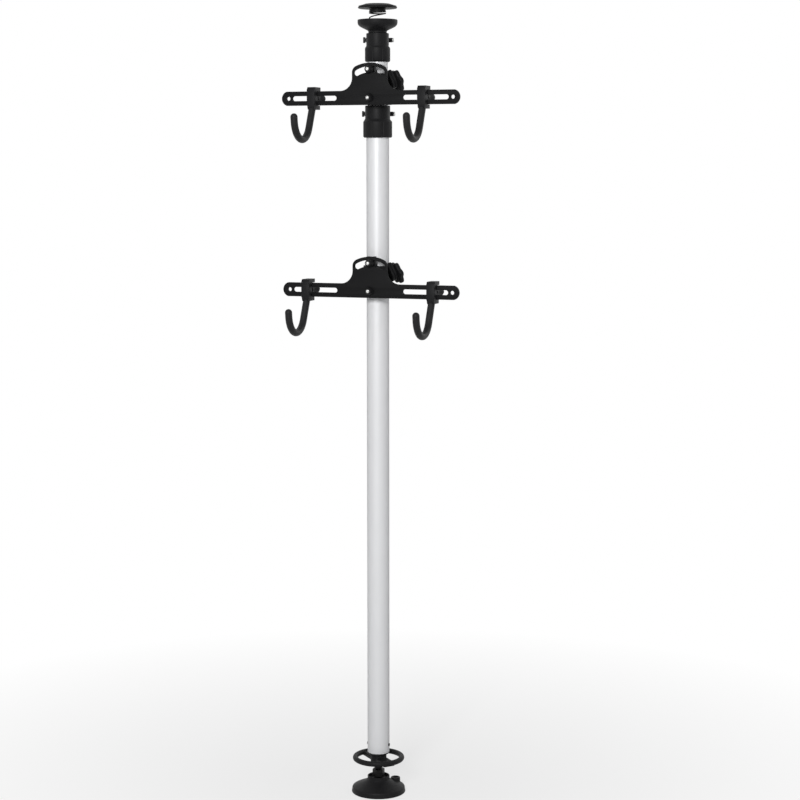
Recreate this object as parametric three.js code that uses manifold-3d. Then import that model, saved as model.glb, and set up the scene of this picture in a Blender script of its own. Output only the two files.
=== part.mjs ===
// Bike storage tower: a telescoping pole that is wedged between floor and ceiling and carries two bike mounts.
// Millimetres, +Z up. The origin is the centre of the foot's underside, the arms lie along X and the
// hooks reach towards -Y.

import * as THREE from 'three';
import { mergeVertices } from 'three/addons/utils/BufferGeometryUtils.js';
import Module from 'manifold-3d';

const wasm = await Module();
wasm.setup();

// Clearances that every neighbour uses
const seatGap = 0.3;
const overrun = 4;

// Telescoping tubes, from the largest up. A start is how far a tube's foot is above the wider tube's foot,
// and the upper tube shows a little above its collar.
const tubeBottom = 85;
const lowerTubeRadius = 22.5;
const lowerTubeWall = 1.6;
const lowerTubeLength = 1281.3;
const middleTubeRadius = 20;
const middleTubeWall = 1.5;
const middleTubeStart = 125;
const upperTubeRadius = 17.5;
const upperTubeWall = 1.5;
const upperTubeStart = 100;
const upperTubeShow = 0.9;
const glideFlange = 6;
const glideSpigot = 24;
const glideWall = 4;

// Foot, its ball joint and the rubber under it
const footRadius = 55.2;
const footDraft = 1.1;
const footRimHeight = 9.5;
const footShoulderHeight = 13.3;
const footShoulderInset = 3.3;
const footConeTop = 25.2;
const footConeTopRadius = 24.4;
const socketRadius = 22.6;
const socketTop = 34.7;
const socketWall = 2;
const retainerThickness = 3;
const retainerDrop = 5.4;
const padRadius = 50.8;
const padThickness = 4;
const padProud = 1;
const ballRadius = 8;
const ballHeight = 18;
const ballPlay = 0.5;
const ballSeatWall = 2.6;
const ballSeatRise = 4;
const ballNeckRadius = 5;
const ballNeckPlay = 2.2;
const footBossRadius = 9.7;
const footBossTop = 24.4;
const footHoleRadius = 4.2;
const footHoleReach = 39.6;
const footBossAzimuth = 48;
const footFlushHoleAzimuth = 168;

// Jack screw, its hexagons and the hand wheel
const jackRadius = 6;
const jackTop = 154;
const jackHexCorner = 13.2;
const jackHexBottom = 33.1;
const jackHexHeight = 7.1;
const lockNutCorner = 12.7;
const lockNutHeight = 7.8;
const wheelHubRadius = 16.5;
const wheelHubHeight = 19;
const wheelNoseRadius = 8;
const wheelNoseGap = 1.5;
const wheelRimCentre = 47.7;
const wheelRimThickness = 5.5;
const wheelRimDrop = 7.7;
const wheelSpokeWidth = 24;
const wheelSpokeHeight = 9;
const wheelSpokeDrop = 7;
const wheelAzimuth = 137;
const thrustWasherRadius = 17;
const thrustWasherThickness = 1.5;
const plugFlange = 2.5;
const plugFlangeInset = 0.7;
const plugSpigot = 24;
const plugScrewHeight = 16.3;
const plugScrewRadius = 2;
const plugScrewHeadRadius = 3.6;
const plugScrewHeadHeight = 1.6;
const plugScrewDepth = 6;

// Clamp collars: the skirt is fixed on the wider tube and the split ring grips the thinner one
const lowerCollar = {
  skirtRadius: 28.7, skirtHeight: 30.9, taperHeight: 5.8, ringRadius: 24.85, ringHeight: 26, seatDepth: 27,
  screwHeight: 47.3, barrelRadius: 4.6, barrelReach: 31.6, nutReach: 26.3,
};
const upperCollar = {
  skirtRadius: 24.95, skirtHeight: 26.8, taperHeight: 3.8, ringRadius: 22.3, ringHeight: 24.9, seatDepth: 23.3,
  screwHeight: 44, barrelRadius: 4.5, barrelReach: 29.1, nutReach: 23.75,
};
const collarEdge = 2;
const collarSlit = 3;
const collarReliefSlot = 3.4;
const collarReliefStart = -14;
const collarReliefEnd = 150;
const collarGrooveRadius = 1.6;
const collarGrooveDepth = 0.7;
const collarGrooveCount = 8;
const collarAzimuth = 20;
const collarScrewRadius = 3;
const collarScrewHeadHeight = 3.8;
const collarNutCorner = 5.75;
const collarNutThickness = 4.6;

// Ceiling end: cup, spring and pad
const cupNeckRadius = 18.15;
const cupNeckHeight = 2.6;
const cupNeckFlare = 23.6;
const cupNeckFlareHeight = 6.2;
const cupBowlRadius = 35.4;
const cupBowlHeight = 12.1;
const cupRimRadius = 39.4;
const cupRimBottom = 18.8;
const cupHeight = 25.5;
const cupWall = 2.6;
const cupFloorHeight = 9.3;
const cupFloorRadius = 25.2;
const cupSpigotLength = 26;
const cupSpigotWall = 3.5;
const springWireRadius = 1.2;
const springCoilRadius = 15.9;
const springEndTurns = 0.75;
const springEndPitch = 1;
const springActiveTurns = 1.4;
const springLength = 30.8;
const springTopAzimuth = 20;
const bossRadius = 16;
const bossLip = 0.8;
const bossLipHeight = 2.5;
const bossHeight = 7.1;
const bossHollowRadius = 11.6;
const bossHollowDepth = 4.8;
const padDiscRadius = 38.7;
const padDiscThickness = 2.9;
const padDiscBead = 1;
const padRubberRadius = 37.4;
const padRubberFlatRadius = 25.2;
const padRubberEdge = 1.4;
const padRubberThickness = 5.2;

// Bike mounts, measured from the arm's pivot: how far the lower one hangs below its tube's top, and the
// room under and over the upper one
const lowerMountDrop = 328.4;
const upperMountGap = 1.8;
const upperMountRoom = 22.9;
const clampRingInner = 24.3;
const clampRingWall = 4.6;
const clampRingBelow = 12.2;
const clampRingAbove = 48.5;
const clampWebWidth = 17.9;
const clampWebFront = 41.5;
const clampWebBelow = 9.7;
const clampWebMargin = 15.4;
const clampWebFlange = 7.9;
const clampWebFlangeHeight = 10.5;
const clampWebSlopeHeight = 17.4;
const clampSlit = 1.4;
const clampSlitAzimuth = 11.5;
const clampSlitTop = 20.8;
const clampSlitInward = 22;
const linerSlit = 2.4;
const linerAbove = 33;

// Clamp ears and the bolt through them: the middle of the near ear's face, and the bolt's direction
const boltStart = { right: 28.7, front: 8.7, up: 28.6 };
const boltAzimuth = 46.8;
const boltRise = 20;
const earRadius = 12.6;
const earLobeRadius = 7.7;
const earLobeRise = 17.4;
const earStack = 10;
const earRecessRadius = 7.2;
const earRecessDepth = 3.2;
const boltRadius = 4;
const boltHeadRadius = 6;
const boltHeadHeight = 2.4;
const knobStandoff = 2;
const knobRelief = 1;
const clampKnobRadius = 21.1;
const clampKnobLobeHeight = 2.1;
const clampKnobLobes = 6;
const clampKnobThickness = 8.8;
const clampKnobEdge = 2.4;
const clampKnobHubRadius = 9;
const clampKnobBoreDepth = 6;

// Arm plate
const plateThickness = 6;
const armReach = 185.1;
const armHalfHeight = 13.9;
const armEndRadius = 14.5;
const armHoleRadius = 4.1;
const armHoleInset = 14;
const armSlotHalfHeight = 4.85;
const armSlotInner = 68.9;
const armSlotInset = 22.2;
const domeRadius = 67.8;
const domeHalfWidth = 36.3;
const domeShoulderRadius = 13.6;
const domeFilletRadius = 25.2;
const arcSlotHalfWidth = 6;
const arcSlotMargin = 6.7;
const arcSlotRadius = domeRadius - arcSlotMargin - arcSlotHalfWidth;
const arcSlotHalfAngle = 28.3;

// Bushes and screws that carry the arm plate
const bushNeckRadius = 5.5;
const bushBaseRadius = 9;
const bushFrontRadius = 5.4;
const bushHeight = 10.8;
const armScrewRadius = 3;
const armScrewHeadRadius = 3.9;
const armScrewHeadHeight = 3.6;
const armScrewDepth = 9;

// Hook blocks, hooks and hand nuts, measured from the slot's middle line
const blockWidth = 16.4;
const blockDepth = 17;
const blockAbove = 21.6;
const blockBelow = 22;
const blockLipInside = 14.2;
const blockLipReach = 15.8;
const blockTopSlope = 4;
const blockTopSlopeHeight = 5.5;
const blockBottomSlope = 2.5;
const blockBottomSlopeHeight = 5;
const blockFootInset = 1.1;
const tongueLength = 8;
const tongueSlack = 0.4;
const studRadius = 4;
const studReach = 17;
const hookRadius = 7.05;
const hookCoreRadius = 5;
const hookCoreLength = 35;
const hookBlockInset = 7.6;
const hookSlant = 25;
const hookStemLength = 40.2;
const hookBendRadius = 39.7;
const hookTipLean = 7;
const hookTipLength = 7.8;
const handNutCollarRadius = 7.8;
const handNutCollarLength = 6.2;
const handNutRadius = 13.1;
const handNutFlareLength = 15.3;
const handNutLength = 25.4;
const handNutFlutes = 6;
const handNutFluteRadius = 3;
const handNutFluteDepth = 1;
const hookInsets = { upper: [68.4, 72.5], lower: [54.2, 53.1] };

// Counts of flats and steps
const tubeSides = 32;
const collarSides = 28;
const roundSides = 28;
const smallSides = 14;
const tinySides = 10;
const hexSides = 6;
const lobeSteps = 4;
const arcSteps = 4;
const hookSides = 5;
const hookSteps = 16;
const springStepsPerTurn = 8;
const springSides = 5;

const halfTurn = 180;
const toRadians = (degrees) => degrees * Math.PI / halfTurn;
const quarter = Math.PI / 2;

// Surface finishes
const finishes = {
  anodised: { color: 0xd4d5d8, roughness: 0.34, metalness: 0.85 },
  blackMetal: { color: 0x1d1d1f, roughness: 0.55, metalness: 0.2 },
  blackPlastic: { color: 0x1b1b1d, roughness: 0.6, metalness: 0 },
  rubber: { color: 0x171718, roughness: 0.85, metalness: 0 },
  steel: { color: 0xc9cacc, roughness: 0.28, metalness: 0.95 },
  darkSteel: { color: 0x2a2a2c, roughness: 0.4, metalness: 0.8 },
  nylon: { color: 0x8f9092, roughness: 0.7, metalness: 0 },
};

// A closed solid for cutting and joining. Flat slivers go and the faces are turned outwards.
function solidOf(geometry) {
  const bare = geometry.clone();
  bare.deleteAttribute('normal');
  bare.deleteAttribute('uv');
  const welded = mergeVertices(bare);
  const points = welded.attributes.position;
  const corner = (index) => new THREE.Vector3().fromBufferAttribute(points, index);
  const faces = [];
  let volume = 0;
  for (let i = 0; i < welded.index.count; i += 3) {
    const [a, b, c] = [0, 1, 2].map((step) => welded.index.getX(i + step));
    if (a === b || b === c || c === a) continue;
    faces.push([a, b, c]);
    volume += corner(a).dot(corner(b).cross(corner(c)));
  }
  const outward = volume < 0 ? faces.map(([a, b, c]) => [a, c, b]) : faces;
  return new wasm.Manifold(new wasm.Mesh({
    numProp: 3,
    vertProperties: new Float32Array(points.array),
    triVerts: new Uint32Array(outward.flat()),
  }));
}

// The geometry of a solid that was cut or joined
function geometryOf(solid) {
  const mesh = solid.getMesh();
  const geometry = new THREE.BufferGeometry();
  geometry.setAttribute('position', new THREE.BufferAttribute(new Float32Array(mesh.vertProperties), 3));
  geometry.setIndex(new THREE.BufferAttribute(new Uint32Array(mesh.triVerts), 1));
  geometry.computeVertexNormals();
  return geometry;
}

const joined = (...solids) => solids.reduce((whole, next) => whole.add(next));
const cutBy = (solid, ...tools) => tools.reduce((whole, tool) => whole.subtract(tool), solid);

// A round solid about Z from [radius, height] pairs, and the simple ones made with it
function turned(profile, sides) {
  const outline = profile.map(([radius, height]) => new THREE.Vector2(radius, height));
  return solidOf(new THREE.LatheGeometry(outline, sides).rotateX(quarter));
}
const rod = (radius, low, high, sides) => turned([[0, low], [radius, low], [radius, high], [0, high]], sides);
function ring(outer, inner, low, high, sides) {
  return turned([[inner, low], [outer, low], [outer, high], [inner, high], [inner, low]], sides);
}
function hexNut(corner, bore, low, high) {
  return cutBy(rod(corner, low, high, hexSides), rod(bore, low - overrun, high + overrun, smallSides));
}
function block([x0, x1], [y0, y1], [z0, z1]) {
  const box = new THREE.BoxGeometry(x1 - x0, y1 - y0, z1 - z0);
  return solidOf(box.translate((x0 + x1) / 2, (y0 + y1) / 2, (z0 + z1) / 2));
}

// A solid moved by a matrix, and the matrices that are used: a point with Z turned onto an axis
const moved = (solid, matrix) => solid.transform(matrix.elements);
function facing(axis, origin) {
  const turn = new THREE.Quaternion().setFromUnitVectors(new THREE.Vector3(0, 0, 1), axis.clone().normalize());
  return new THREE.Matrix4().compose(origin, turn, new THREE.Vector3(1, 1, 1));
}
const turnedAboutZ = (degrees) => new THREE.Matrix4().makeRotationZ(toRadians(degrees));
const atHeight = (height) => new THREE.Matrix4().makeTranslation(0, 0, height);

// A flat outline drawn in X and Z, as thick as given, with its back on the plane y = back
function plateSolid(shape, back, thickness, steps) {
  const sheet = new THREE.ExtrudeGeometry(shape, { depth: thickness, bevelEnabled: false, curveSegments: steps });
  return solidOf(sheet.rotateX(quarter).translate(0, back, 0));
}

// A grip outline with round lobes, drawn out from z = 0 with bevelled edges
function lobedGrip(radius, lobeHeight, lobes, thickness, edge) {
  const count = lobes * lobeSteps;
  const outline = new THREE.Shape(Array.from({ length: count }, (_, i) => {
    const angle = i * 2 * Math.PI / count;
    const reach = radius - edge + lobeHeight * Math.cos(lobes * angle);
    return new THREE.Vector2(reach * Math.cos(angle), reach * Math.sin(angle));
  }));
  return solidOf(new THREE.ExtrudeGeometry(outline, {
    depth: thickness - 2 * edge, bevelThickness: edge, bevelSize: edge, bevelSegments: 1, curveSegments: 1,
  }).translate(0, 0, edge));
}

// The object: nodes are added to the group that carries them
const tower = new THREE.Group();
function add(parent, name, solid, finish) {
  const mesh = new THREE.Mesh(geometryOf(solid), new THREE.MeshStandardMaterial(finishes[finish]));
  mesh.name = name;
  parent.add(mesh);
}

// Foot: rubber pad, cast base with a socket, ball seat and retaining ring
function buildFoot() {
  const recess = padThickness + seatGap;
  const seatOuter = ballRadius + ballPlay + ballSeatWall;
  const socketBore = seatOuter + ballPlay;
  const ledge = socketTop - retainerDrop - retainerThickness;
  const body = turned([
    [0, padProud], [footRadius, padProud], [footRadius - footDraft, footRimHeight],
    [footRadius - footShoulderInset, footShoulderHeight], [footConeTopRadius, footConeTop],
    [socketRadius, footConeTop + footDraft], [socketRadius, socketTop], [socketRadius - socketWall, socketTop],
    [socketRadius - socketWall, ledge], [0, ledge],
  ], roundSides);
  const turnedTo = (azimuth) => new THREE.Matrix4().multiplyMatrices(
    turnedAboutZ(azimuth), new THREE.Matrix4().makeTranslation(footHoleReach, 0, 0));
  const boss = moved(rod(footBossRadius, footRimHeight, footBossTop, smallSides), turnedTo(footBossAzimuth));
  const hole = rod(footHoleRadius, -overrun, footBossTop + overrun, tinySides);
  const base = cutBy(
    joined(body, boss),
    rod(padRadius + seatGap, -overrun, recess, roundSides),
    rod(socketBore, ballHeight, ledge + overrun, smallSides),
    moved(solidOf(new THREE.SphereGeometry(socketBore, smallSides, tinySides).rotateX(quarter)), atHeight(ballHeight)),
    moved(hole, turnedTo(footBossAzimuth)),
    moved(hole, turnedTo(footFlushHoleAzimuth)),
  );
  add(tower, 'foot_base', base, 'blackPlastic');
  add(tower, 'foot_rubber_pad', rod(padRadius, 0, padThickness, roundSides), 'rubber');

  const seatShell = cutBy(
    solidOf(new THREE.SphereGeometry(seatOuter, smallSides, tinySides).rotateX(quarter)),
    solidOf(new THREE.SphereGeometry(ballRadius + ballPlay, smallSides, tinySides).rotateX(quarter)),
    rod(seatOuter + overrun, ballSeatRise, seatOuter + overrun, smallSides),
  );
  add(tower, 'foot_ball_seat', moved(seatShell, atHeight(ballHeight)), 'nylon');
  const retainer = ring(
    socketRadius - socketWall - seatGap, ballNeckRadius + ballNeckPlay,
    ledge + seatGap, ledge + retainerThickness, roundSides);
  add(tower, 'foot_retaining_ring', retainer, 'blackPlastic');
}

// Jack: ball-ended screw, lock nut, hand wheel and thrust washer
function buildJack() {
  const hexTop = jackHexBottom + jackHexHeight;
  const screw = joined(
    moved(solidOf(new THREE.SphereGeometry(ballRadius, smallSides, tinySides).rotateX(quarter)), atHeight(ballHeight)),
    rod(ballNeckRadius, ballHeight, jackHexBottom + jackHexHeight / 2, smallSides),
    rod(jackHexCorner, jackHexBottom, hexTop, hexSides),
    rod(jackRadius, hexTop - jackHexHeight / 2, jackTop, smallSides),
  );
  add(tower, 'jack_screw', screw, 'darkSteel');
  const nutBottom = hexTop + seatGap;
  const nutTop = nutBottom + lockNutHeight;
  const nut = hexNut(lockNutCorner, jackRadius + seatGap, nutBottom, nutTop);
  add(tower, 'jack_lock_nut', nut, 'darkSteel');

  const flangeBottom = tubeBottom - seatGap - plugFlange;
  const washerBottom = flangeBottom - seatGap - thrustWasherThickness;
  const hubTop = washerBottom - seatGap;
  const hubBottom = hubTop - wheelHubHeight;
  const rim = new THREE.TorusGeometry(wheelRimCentre, wheelRimThickness, tinySides - 4, roundSides);
  const rimHeight = hubTop - wheelRimDrop;
  const spokeLow = rimHeight - wheelSpokeDrop;
  const spoke = block(
    [-wheelRimCentre, wheelRimCentre], [-wheelSpokeWidth / 2, wheelSpokeWidth / 2],
    [spokeLow, spokeLow + wheelSpokeHeight]);
  const wheel = cutBy(
    joined(
      moved(solidOf(rim), atHeight(rimHeight)),
      moved(spoke, turnedAboutZ(wheelAzimuth)),
      rod(wheelHubRadius, hubBottom, hubTop, roundSides),
      rod(wheelNoseRadius, nutTop + wheelNoseGap, hubTop, smallSides),
    ),
    rod(jackRadius + seatGap, nutTop, hubTop + overrun, smallSides),
  );
  add(tower, 'hand_wheel', wheel, 'blackPlastic');
  const washer = ring(
    thrustWasherRadius, jackRadius + seatGap, washerBottom, washerBottom + thrustWasherThickness, roundSides);
  add(tower, 'thrust_washer', washer, 'steel');
}

// Lower tube with its end plug and the two screws that hold the plug
function buildLowerTube() {
  const inner = lowerTubeRadius - lowerTubeWall;
  const flangeBottom = tubeBottom - seatGap - plugFlange;
  const screwHeight = tubeBottom + plugScrewHeight;
  const sides = { right: 1, left: -1 };
  const axisOf = (side) => facing(new THREE.Vector3(side, 0, 0), new THREE.Vector3(0, 0, screwHeight));
  const hole = rod(plugScrewRadius + seatGap, inner - plugScrewDepth - seatGap, lowerTubeRadius + overrun, tinySides);
  const holes = Object.values(sides).map((side) => moved(hole, axisOf(side)));
  add(tower, 'lower_tube', cutBy(ring(lowerTubeRadius, inner, tubeBottom, lowerTubeTop, tubeSides), ...holes), 'anodised');
  const plug = cutBy(
    joined(
      rod(inner - seatGap, flangeBottom, tubeBottom + plugSpigot, tubeSides),
      rod(lowerTubeRadius - plugFlangeInset, flangeBottom, flangeBottom + plugFlange, tubeSides),
    ),
    rod(jackRadius + seatGap, flangeBottom - overrun, tubeBottom + plugSpigot + overrun, smallSides),
    ...holes,
  );
  add(tower, 'tube_end_plug', plug, 'blackPlastic');
  const head = lowerTubeRadius + seatGap;
  const screw = turned([
    [0, inner - plugScrewDepth], [plugScrewRadius, inner - plugScrewDepth], [plugScrewRadius, head],
    [plugScrewHeadRadius, head], [plugScrewHeadRadius / 2, head + plugScrewHeadHeight],
    [0, head + plugScrewHeadHeight],
  ], tinySides);
  for (const [name, side] of Object.entries(sides)) {
    add(tower, `plug_screw_${name}`, moved(screw, axisOf(side)), 'darkSteel');
  }
}

// Tube that slides inside a wider one, with the glide that closes its lower end
function buildInnerTube(name, radius, wall, bottom, top, boreAround) {
  const inner = radius - wall;
  add(tower, `${name}_tube`, ring(radius, inner, bottom, top, tubeSides), 'anodised');
  const flangeBottom = bottom - seatGap - glideFlange;
  const spigotTop = bottom + glideSpigot;
  const glide = turned([
    [inner - seatGap - glideWall, flangeBottom], [boreAround - seatGap, flangeBottom],
    [boreAround - seatGap, bottom - seatGap], [inner - seatGap, bottom - seatGap],
    [inner - seatGap, spigotTop], [inner - seatGap - glideWall, spigotTop],
    [inner - seatGap - glideWall, flangeBottom],
  ], tubeSides);
  add(tower, `${name}_tube_glide`, glide, 'nylon');
}

// Clamp collar on the tube end at topOfTube, with its pinch screw and nut behind the pole
function buildCollar(name, sizes, topOfTube, outerTube, innerTube) {
  const bottom = topOfTube - sizes.seatDepth;
  const taperTop = bottom + sizes.skirtHeight + sizes.taperHeight;
  const top = taperTop + sizes.ringHeight;
  const screwBack = innerTube + seatGap + collarSlit / 2 + sizes.barrelRadius;
  const screwLine = new THREE.Vector3(0, screwBack, bottom + sizes.screwHeight);
  const across = facing(new THREE.Vector3(1, 0, 0), screwLine);
  const body = turned([
    [0, bottom], [sizes.skirtRadius - collarEdge, bottom], [sizes.skirtRadius, bottom + collarEdge],
    [sizes.skirtRadius, bottom + sizes.skirtHeight], [sizes.ringRadius, taperTop], [sizes.ringRadius, top],
    [0, top],
  ], collarSides);
  const barrel = moved(rod(sizes.barrelRadius, -sizes.nutReach, sizes.barrelReach, smallSides), across);
  const reliefLow = taperTop - sizes.taperHeight / 2;
  const reliefArc = new THREE.Shape();
  const reliefRadius = sizes.skirtRadius + overrun;
  reliefArc.moveTo(0, 0);
  reliefArc.absarc(0, 0, reliefRadius, toRadians(collarReliefStart), toRadians(collarReliefEnd), false);
  const relief = solidOf(new THREE.ExtrudeGeometry(reliefArc, { depth: collarReliefSlot, bevelEnabled: false }));
  const groove = rod(collarGrooveRadius, bottom - overrun, bottom + sizes.skirtHeight, tinySides);
  const grooveReach = sizes.skirtRadius + collarGrooveRadius - collarGrooveDepth;
  const grooves = Array.from({ length: collarGrooveCount }, (_, i) => moved(groove, new THREE.Matrix4()
    .multiplyMatrices(
      turnedAboutZ((i + 1 / 2) * 2 * halfTurn / collarGrooveCount),
      new THREE.Matrix4().makeTranslation(grooveReach, 0, 0))));
  const collar = cutBy(
    joined(body, barrel),
    rod(outerTube + seatGap, bottom - overrun, topOfTube + seatGap, tubeSides),
    rod(innerTube + seatGap, bottom, top + overrun, tubeSides),
    block([-collarSlit / 2, collarSlit / 2], [0, screwBack + sizes.barrelRadius + overrun], [reliefLow, top + overrun]),
    moved(relief, atHeight(reliefLow)),
    moved(rod(collarScrewRadius + seatGap, -sizes.nutReach - overrun, sizes.barrelReach + overrun, tinySides), across),
    ...grooves,
  );
  const about = turnedAboutZ(collarAzimuth);
  add(tower, `${name}_collar`, moved(collar, about), 'blackPlastic');
  const headBase = sizes.barrelReach + seatGap;
  const screw = turned([
    [0, -sizes.nutReach - seatGap - collarNutThickness], [collarScrewRadius, -sizes.nutReach - seatGap - collarNutThickness],
    [collarScrewRadius, headBase], [sizes.barrelRadius, headBase],
    [sizes.barrelRadius, headBase + collarScrewHeadHeight / 2],
    [sizes.barrelRadius / 2, headBase + collarScrewHeadHeight], [0, headBase + collarScrewHeadHeight],
  ], tinySides);
  add(tower, `${name}_collar_screw`, moved(moved(screw, across), about), 'steel');
  const nutEnd = -sizes.nutReach - seatGap;
  const nut = hexNut(collarNutCorner, collarScrewRadius + seatGap, nutEnd - collarNutThickness, nutEnd);
  add(tower, `${name}_collar_nut`, moved(moved(nut, across), about), 'darkSteel');
}

// Points along the spring's wire, each with its turn, from the cup's floor up
function springPath(floor) {
  const turns = 2 * springEndTurns + springActiveTurns;
  const low = floor + seatGap + springWireRadius;
  const rise = springLength - 2 * (seatGap + springWireRadius);
  const activeRise = rise - 2 * springEndTurns * springEndPitch;
  const heightAt = (turn) => {
    const active = Math.min(Math.max(turn - springEndTurns, 0), springActiveTurns);
    return low + (turn - active) * springEndPitch + active * activeRise / springActiveTurns;
  };
  const startAzimuth = toRadians(springTopAzimuth) - (springEndTurns + springActiveTurns) * 2 * Math.PI;
  const count = Math.round(turns * springStepsPerTurn);
  const points = Array.from({ length: count + 1 }, (_, i) => {
    const turn = i * turns / count;
    const angle = startAzimuth + turn * 2 * Math.PI;
    return new THREE.Vector3(
      springCoilRadius * Math.cos(angle), springCoilRadius * Math.sin(angle), heightAt(turn));
  });
  const beyond = (end, next) => {
    const away = end.clone().sub(next).setZ(0).setLength(2 * springWireRadius);
    return end.clone().add(away);
  };
  return [beyond(points[0], points[1]), ...points, beyond(points[count], points[count - 1])];
}

// One unbroken tube along the wire's points, closed at both ends
function wireSolid(points) {
  const up = new THREE.Vector3(0, 0, 1);
  const last = points.length - 1;
  const corners = [];
  points.forEach((point, i) => {
    const tangent = points[Math.min(i + 1, last)].clone().sub(points[Math.max(i - 1, 0)]).normalize();
    const side = new THREE.Vector3().crossVectors(tangent, up).normalize();
    const over = new THREE.Vector3().crossVectors(side, tangent);
    for (let k = 0; k < springSides; k += 1) {
      const angle = k * 2 * Math.PI / springSides;
      const offset = side.clone().multiplyScalar(springWireRadius * Math.cos(angle))
        .addScaledVector(over, springWireRadius * Math.sin(angle));
      corners.push(...point.clone().add(offset).toArray());
    }
  });
  const faces = [];
  for (let i = 0; i < last; i += 1) {
    for (let k = 0; k < springSides; k += 1) {
      const a = i * springSides + k;
      const b = i * springSides + (k + 1) % springSides;
      faces.push(a, b, b + springSides, a, b + springSides, a + springSides);
    }
  }
  for (let k = 1; k < springSides - 1; k += 1) {
    const end = last * springSides;
    faces.push(0, k + 1, k, end, end + k, end + k + 1);
  }
  const wire = new THREE.BufferGeometry();
  wire.setAttribute('position', new THREE.Float32BufferAttribute(corners, 3));
  wire.setIndex(faces);
  return solidOf(wire);
}

// The least gap between stretches of the wire that are at least half a turn apart
function leastWireGap(points) {
  let least = Infinity;
  points.forEach((point, i) => {
    points.slice(i + springStepsPerTurn / 2).forEach((other) => {
      least = Math.min(least, point.distanceTo(other) - 2 * springWireRadius);
    });
  });
  return least;
}

// Ceiling end: the cup plugs into the upper tube, the spring stands in it and carries the pad
function buildCeilingEnd(tubeTop) {
  const base = tubeTop + seatGap;
  const spigot = upperTubeRadius - upperTubeWall - seatGap;
  const floor = base + cupFloorHeight;
  const cup = cutBy(
    turned([
      [0, base - cupSpigotLength], [spigot, base - cupSpigotLength], [spigot, base], [cupNeckRadius, base],
      [cupNeckRadius, base + cupNeckHeight], [cupNeckFlare, base + cupNeckFlareHeight],
      [cupBowlRadius, base + cupBowlHeight], [cupRimRadius, base + cupRimBottom], [cupRimRadius, base + cupHeight],
      [cupRimRadius - cupWall, base + cupHeight], [cupRimRadius - cupWall, base + cupRimBottom],
      [cupBowlRadius - cupWall, base + cupBowlHeight + cupWall], [cupFloorRadius, floor], [0, floor],
    ], collarSides),
    rod(spigot - cupSpigotWall, base - cupSpigotLength - overrun, floor - cupWall, smallSides),
  );
  add(tower, 'ceiling_cup', cup, 'blackPlastic');

  const wire = springPath(floor);
  add(tower, 'ceiling_spring', wireSolid(wire), 'darkSteel');
  console.log(`ceiling_spring least gap to itself ${leastWireGap(wire).toFixed(2)} mm`);

  const bossBottom = floor + springLength;
  const discBottom = bossBottom + bossHeight;
  const discTop = discBottom + padDiscThickness;
  const pad = turned([
    [0, bossBottom + bossHollowDepth], [bossHollowRadius, bossBottom + bossHollowDepth],
    [bossHollowRadius, bossBottom], [bossRadius + bossLip, bossBottom], [bossRadius + bossLip, bossBottom + bossLipHeight],
    [bossRadius, bossBottom + bossLipHeight], [bossRadius, discBottom], [padDiscRadius - padDiscBead, discBottom],
    [padDiscRadius, discBottom + padDiscThickness / 2], [padDiscRadius - padDiscBead, discTop], [0, discTop],
  ], collarSides);
  add(tower, 'ceiling_pad', pad, 'blackPlastic');
  const rubberBottom = discTop + seatGap;
  const rubber = turned([
    [0, rubberBottom], [padRubberRadius, rubberBottom], [padRubberRadius, rubberBottom + padRubberEdge],
    [padRubberFlatRadius, rubberBottom + padRubberThickness], [0, rubberBottom + padRubberThickness],
  ], collarSides);
  add(tower, 'ceiling_pad_rubber', rubber, 'rubber');
}

// The clamp bolt's own frame: Z runs along the bolt from the near ear's face and Y points up in the ear's plane
function clampBoltFrame() {
  const azimuth = toRadians(boltAzimuth);
  const rise = toRadians(boltRise);
  const along = new THREE.Vector3(
    Math.cos(rise) * Math.cos(azimuth), Math.cos(rise) * Math.sin(azimuth), Math.sin(rise));
  const inward = new THREE.Vector3(-Math.sin(azimuth), Math.cos(azimuth), 0);
  const up = new THREE.Vector3().crossVectors(along, inward);
  return new THREE.Matrix4().makeBasis(inward, up, along)
    .setPosition(boltStart.right, -boltStart.front, boltStart.up);
}
const alongBolt = clampBoltFrame();

// Clamp ears: a round for the bolt that narrows to a smaller round above it
function clampEars() {
  const lean = Math.asin((earRadius - earLobeRadius) / earLobeRise);
  const outline = new THREE.Shape();
  outline.absarc(0, 0, earRadius, 2 * quarter - lean, 4 * quarter + lean, false);
  outline.absarc(0, earLobeRise, earLobeRadius, lean, 2 * quarter - lean, false);
  return solidOf(new THREE.ExtrudeGeometry(outline, { depth: earStack, bevelEnabled: false, curveSegments: arcSteps }));
}

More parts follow.
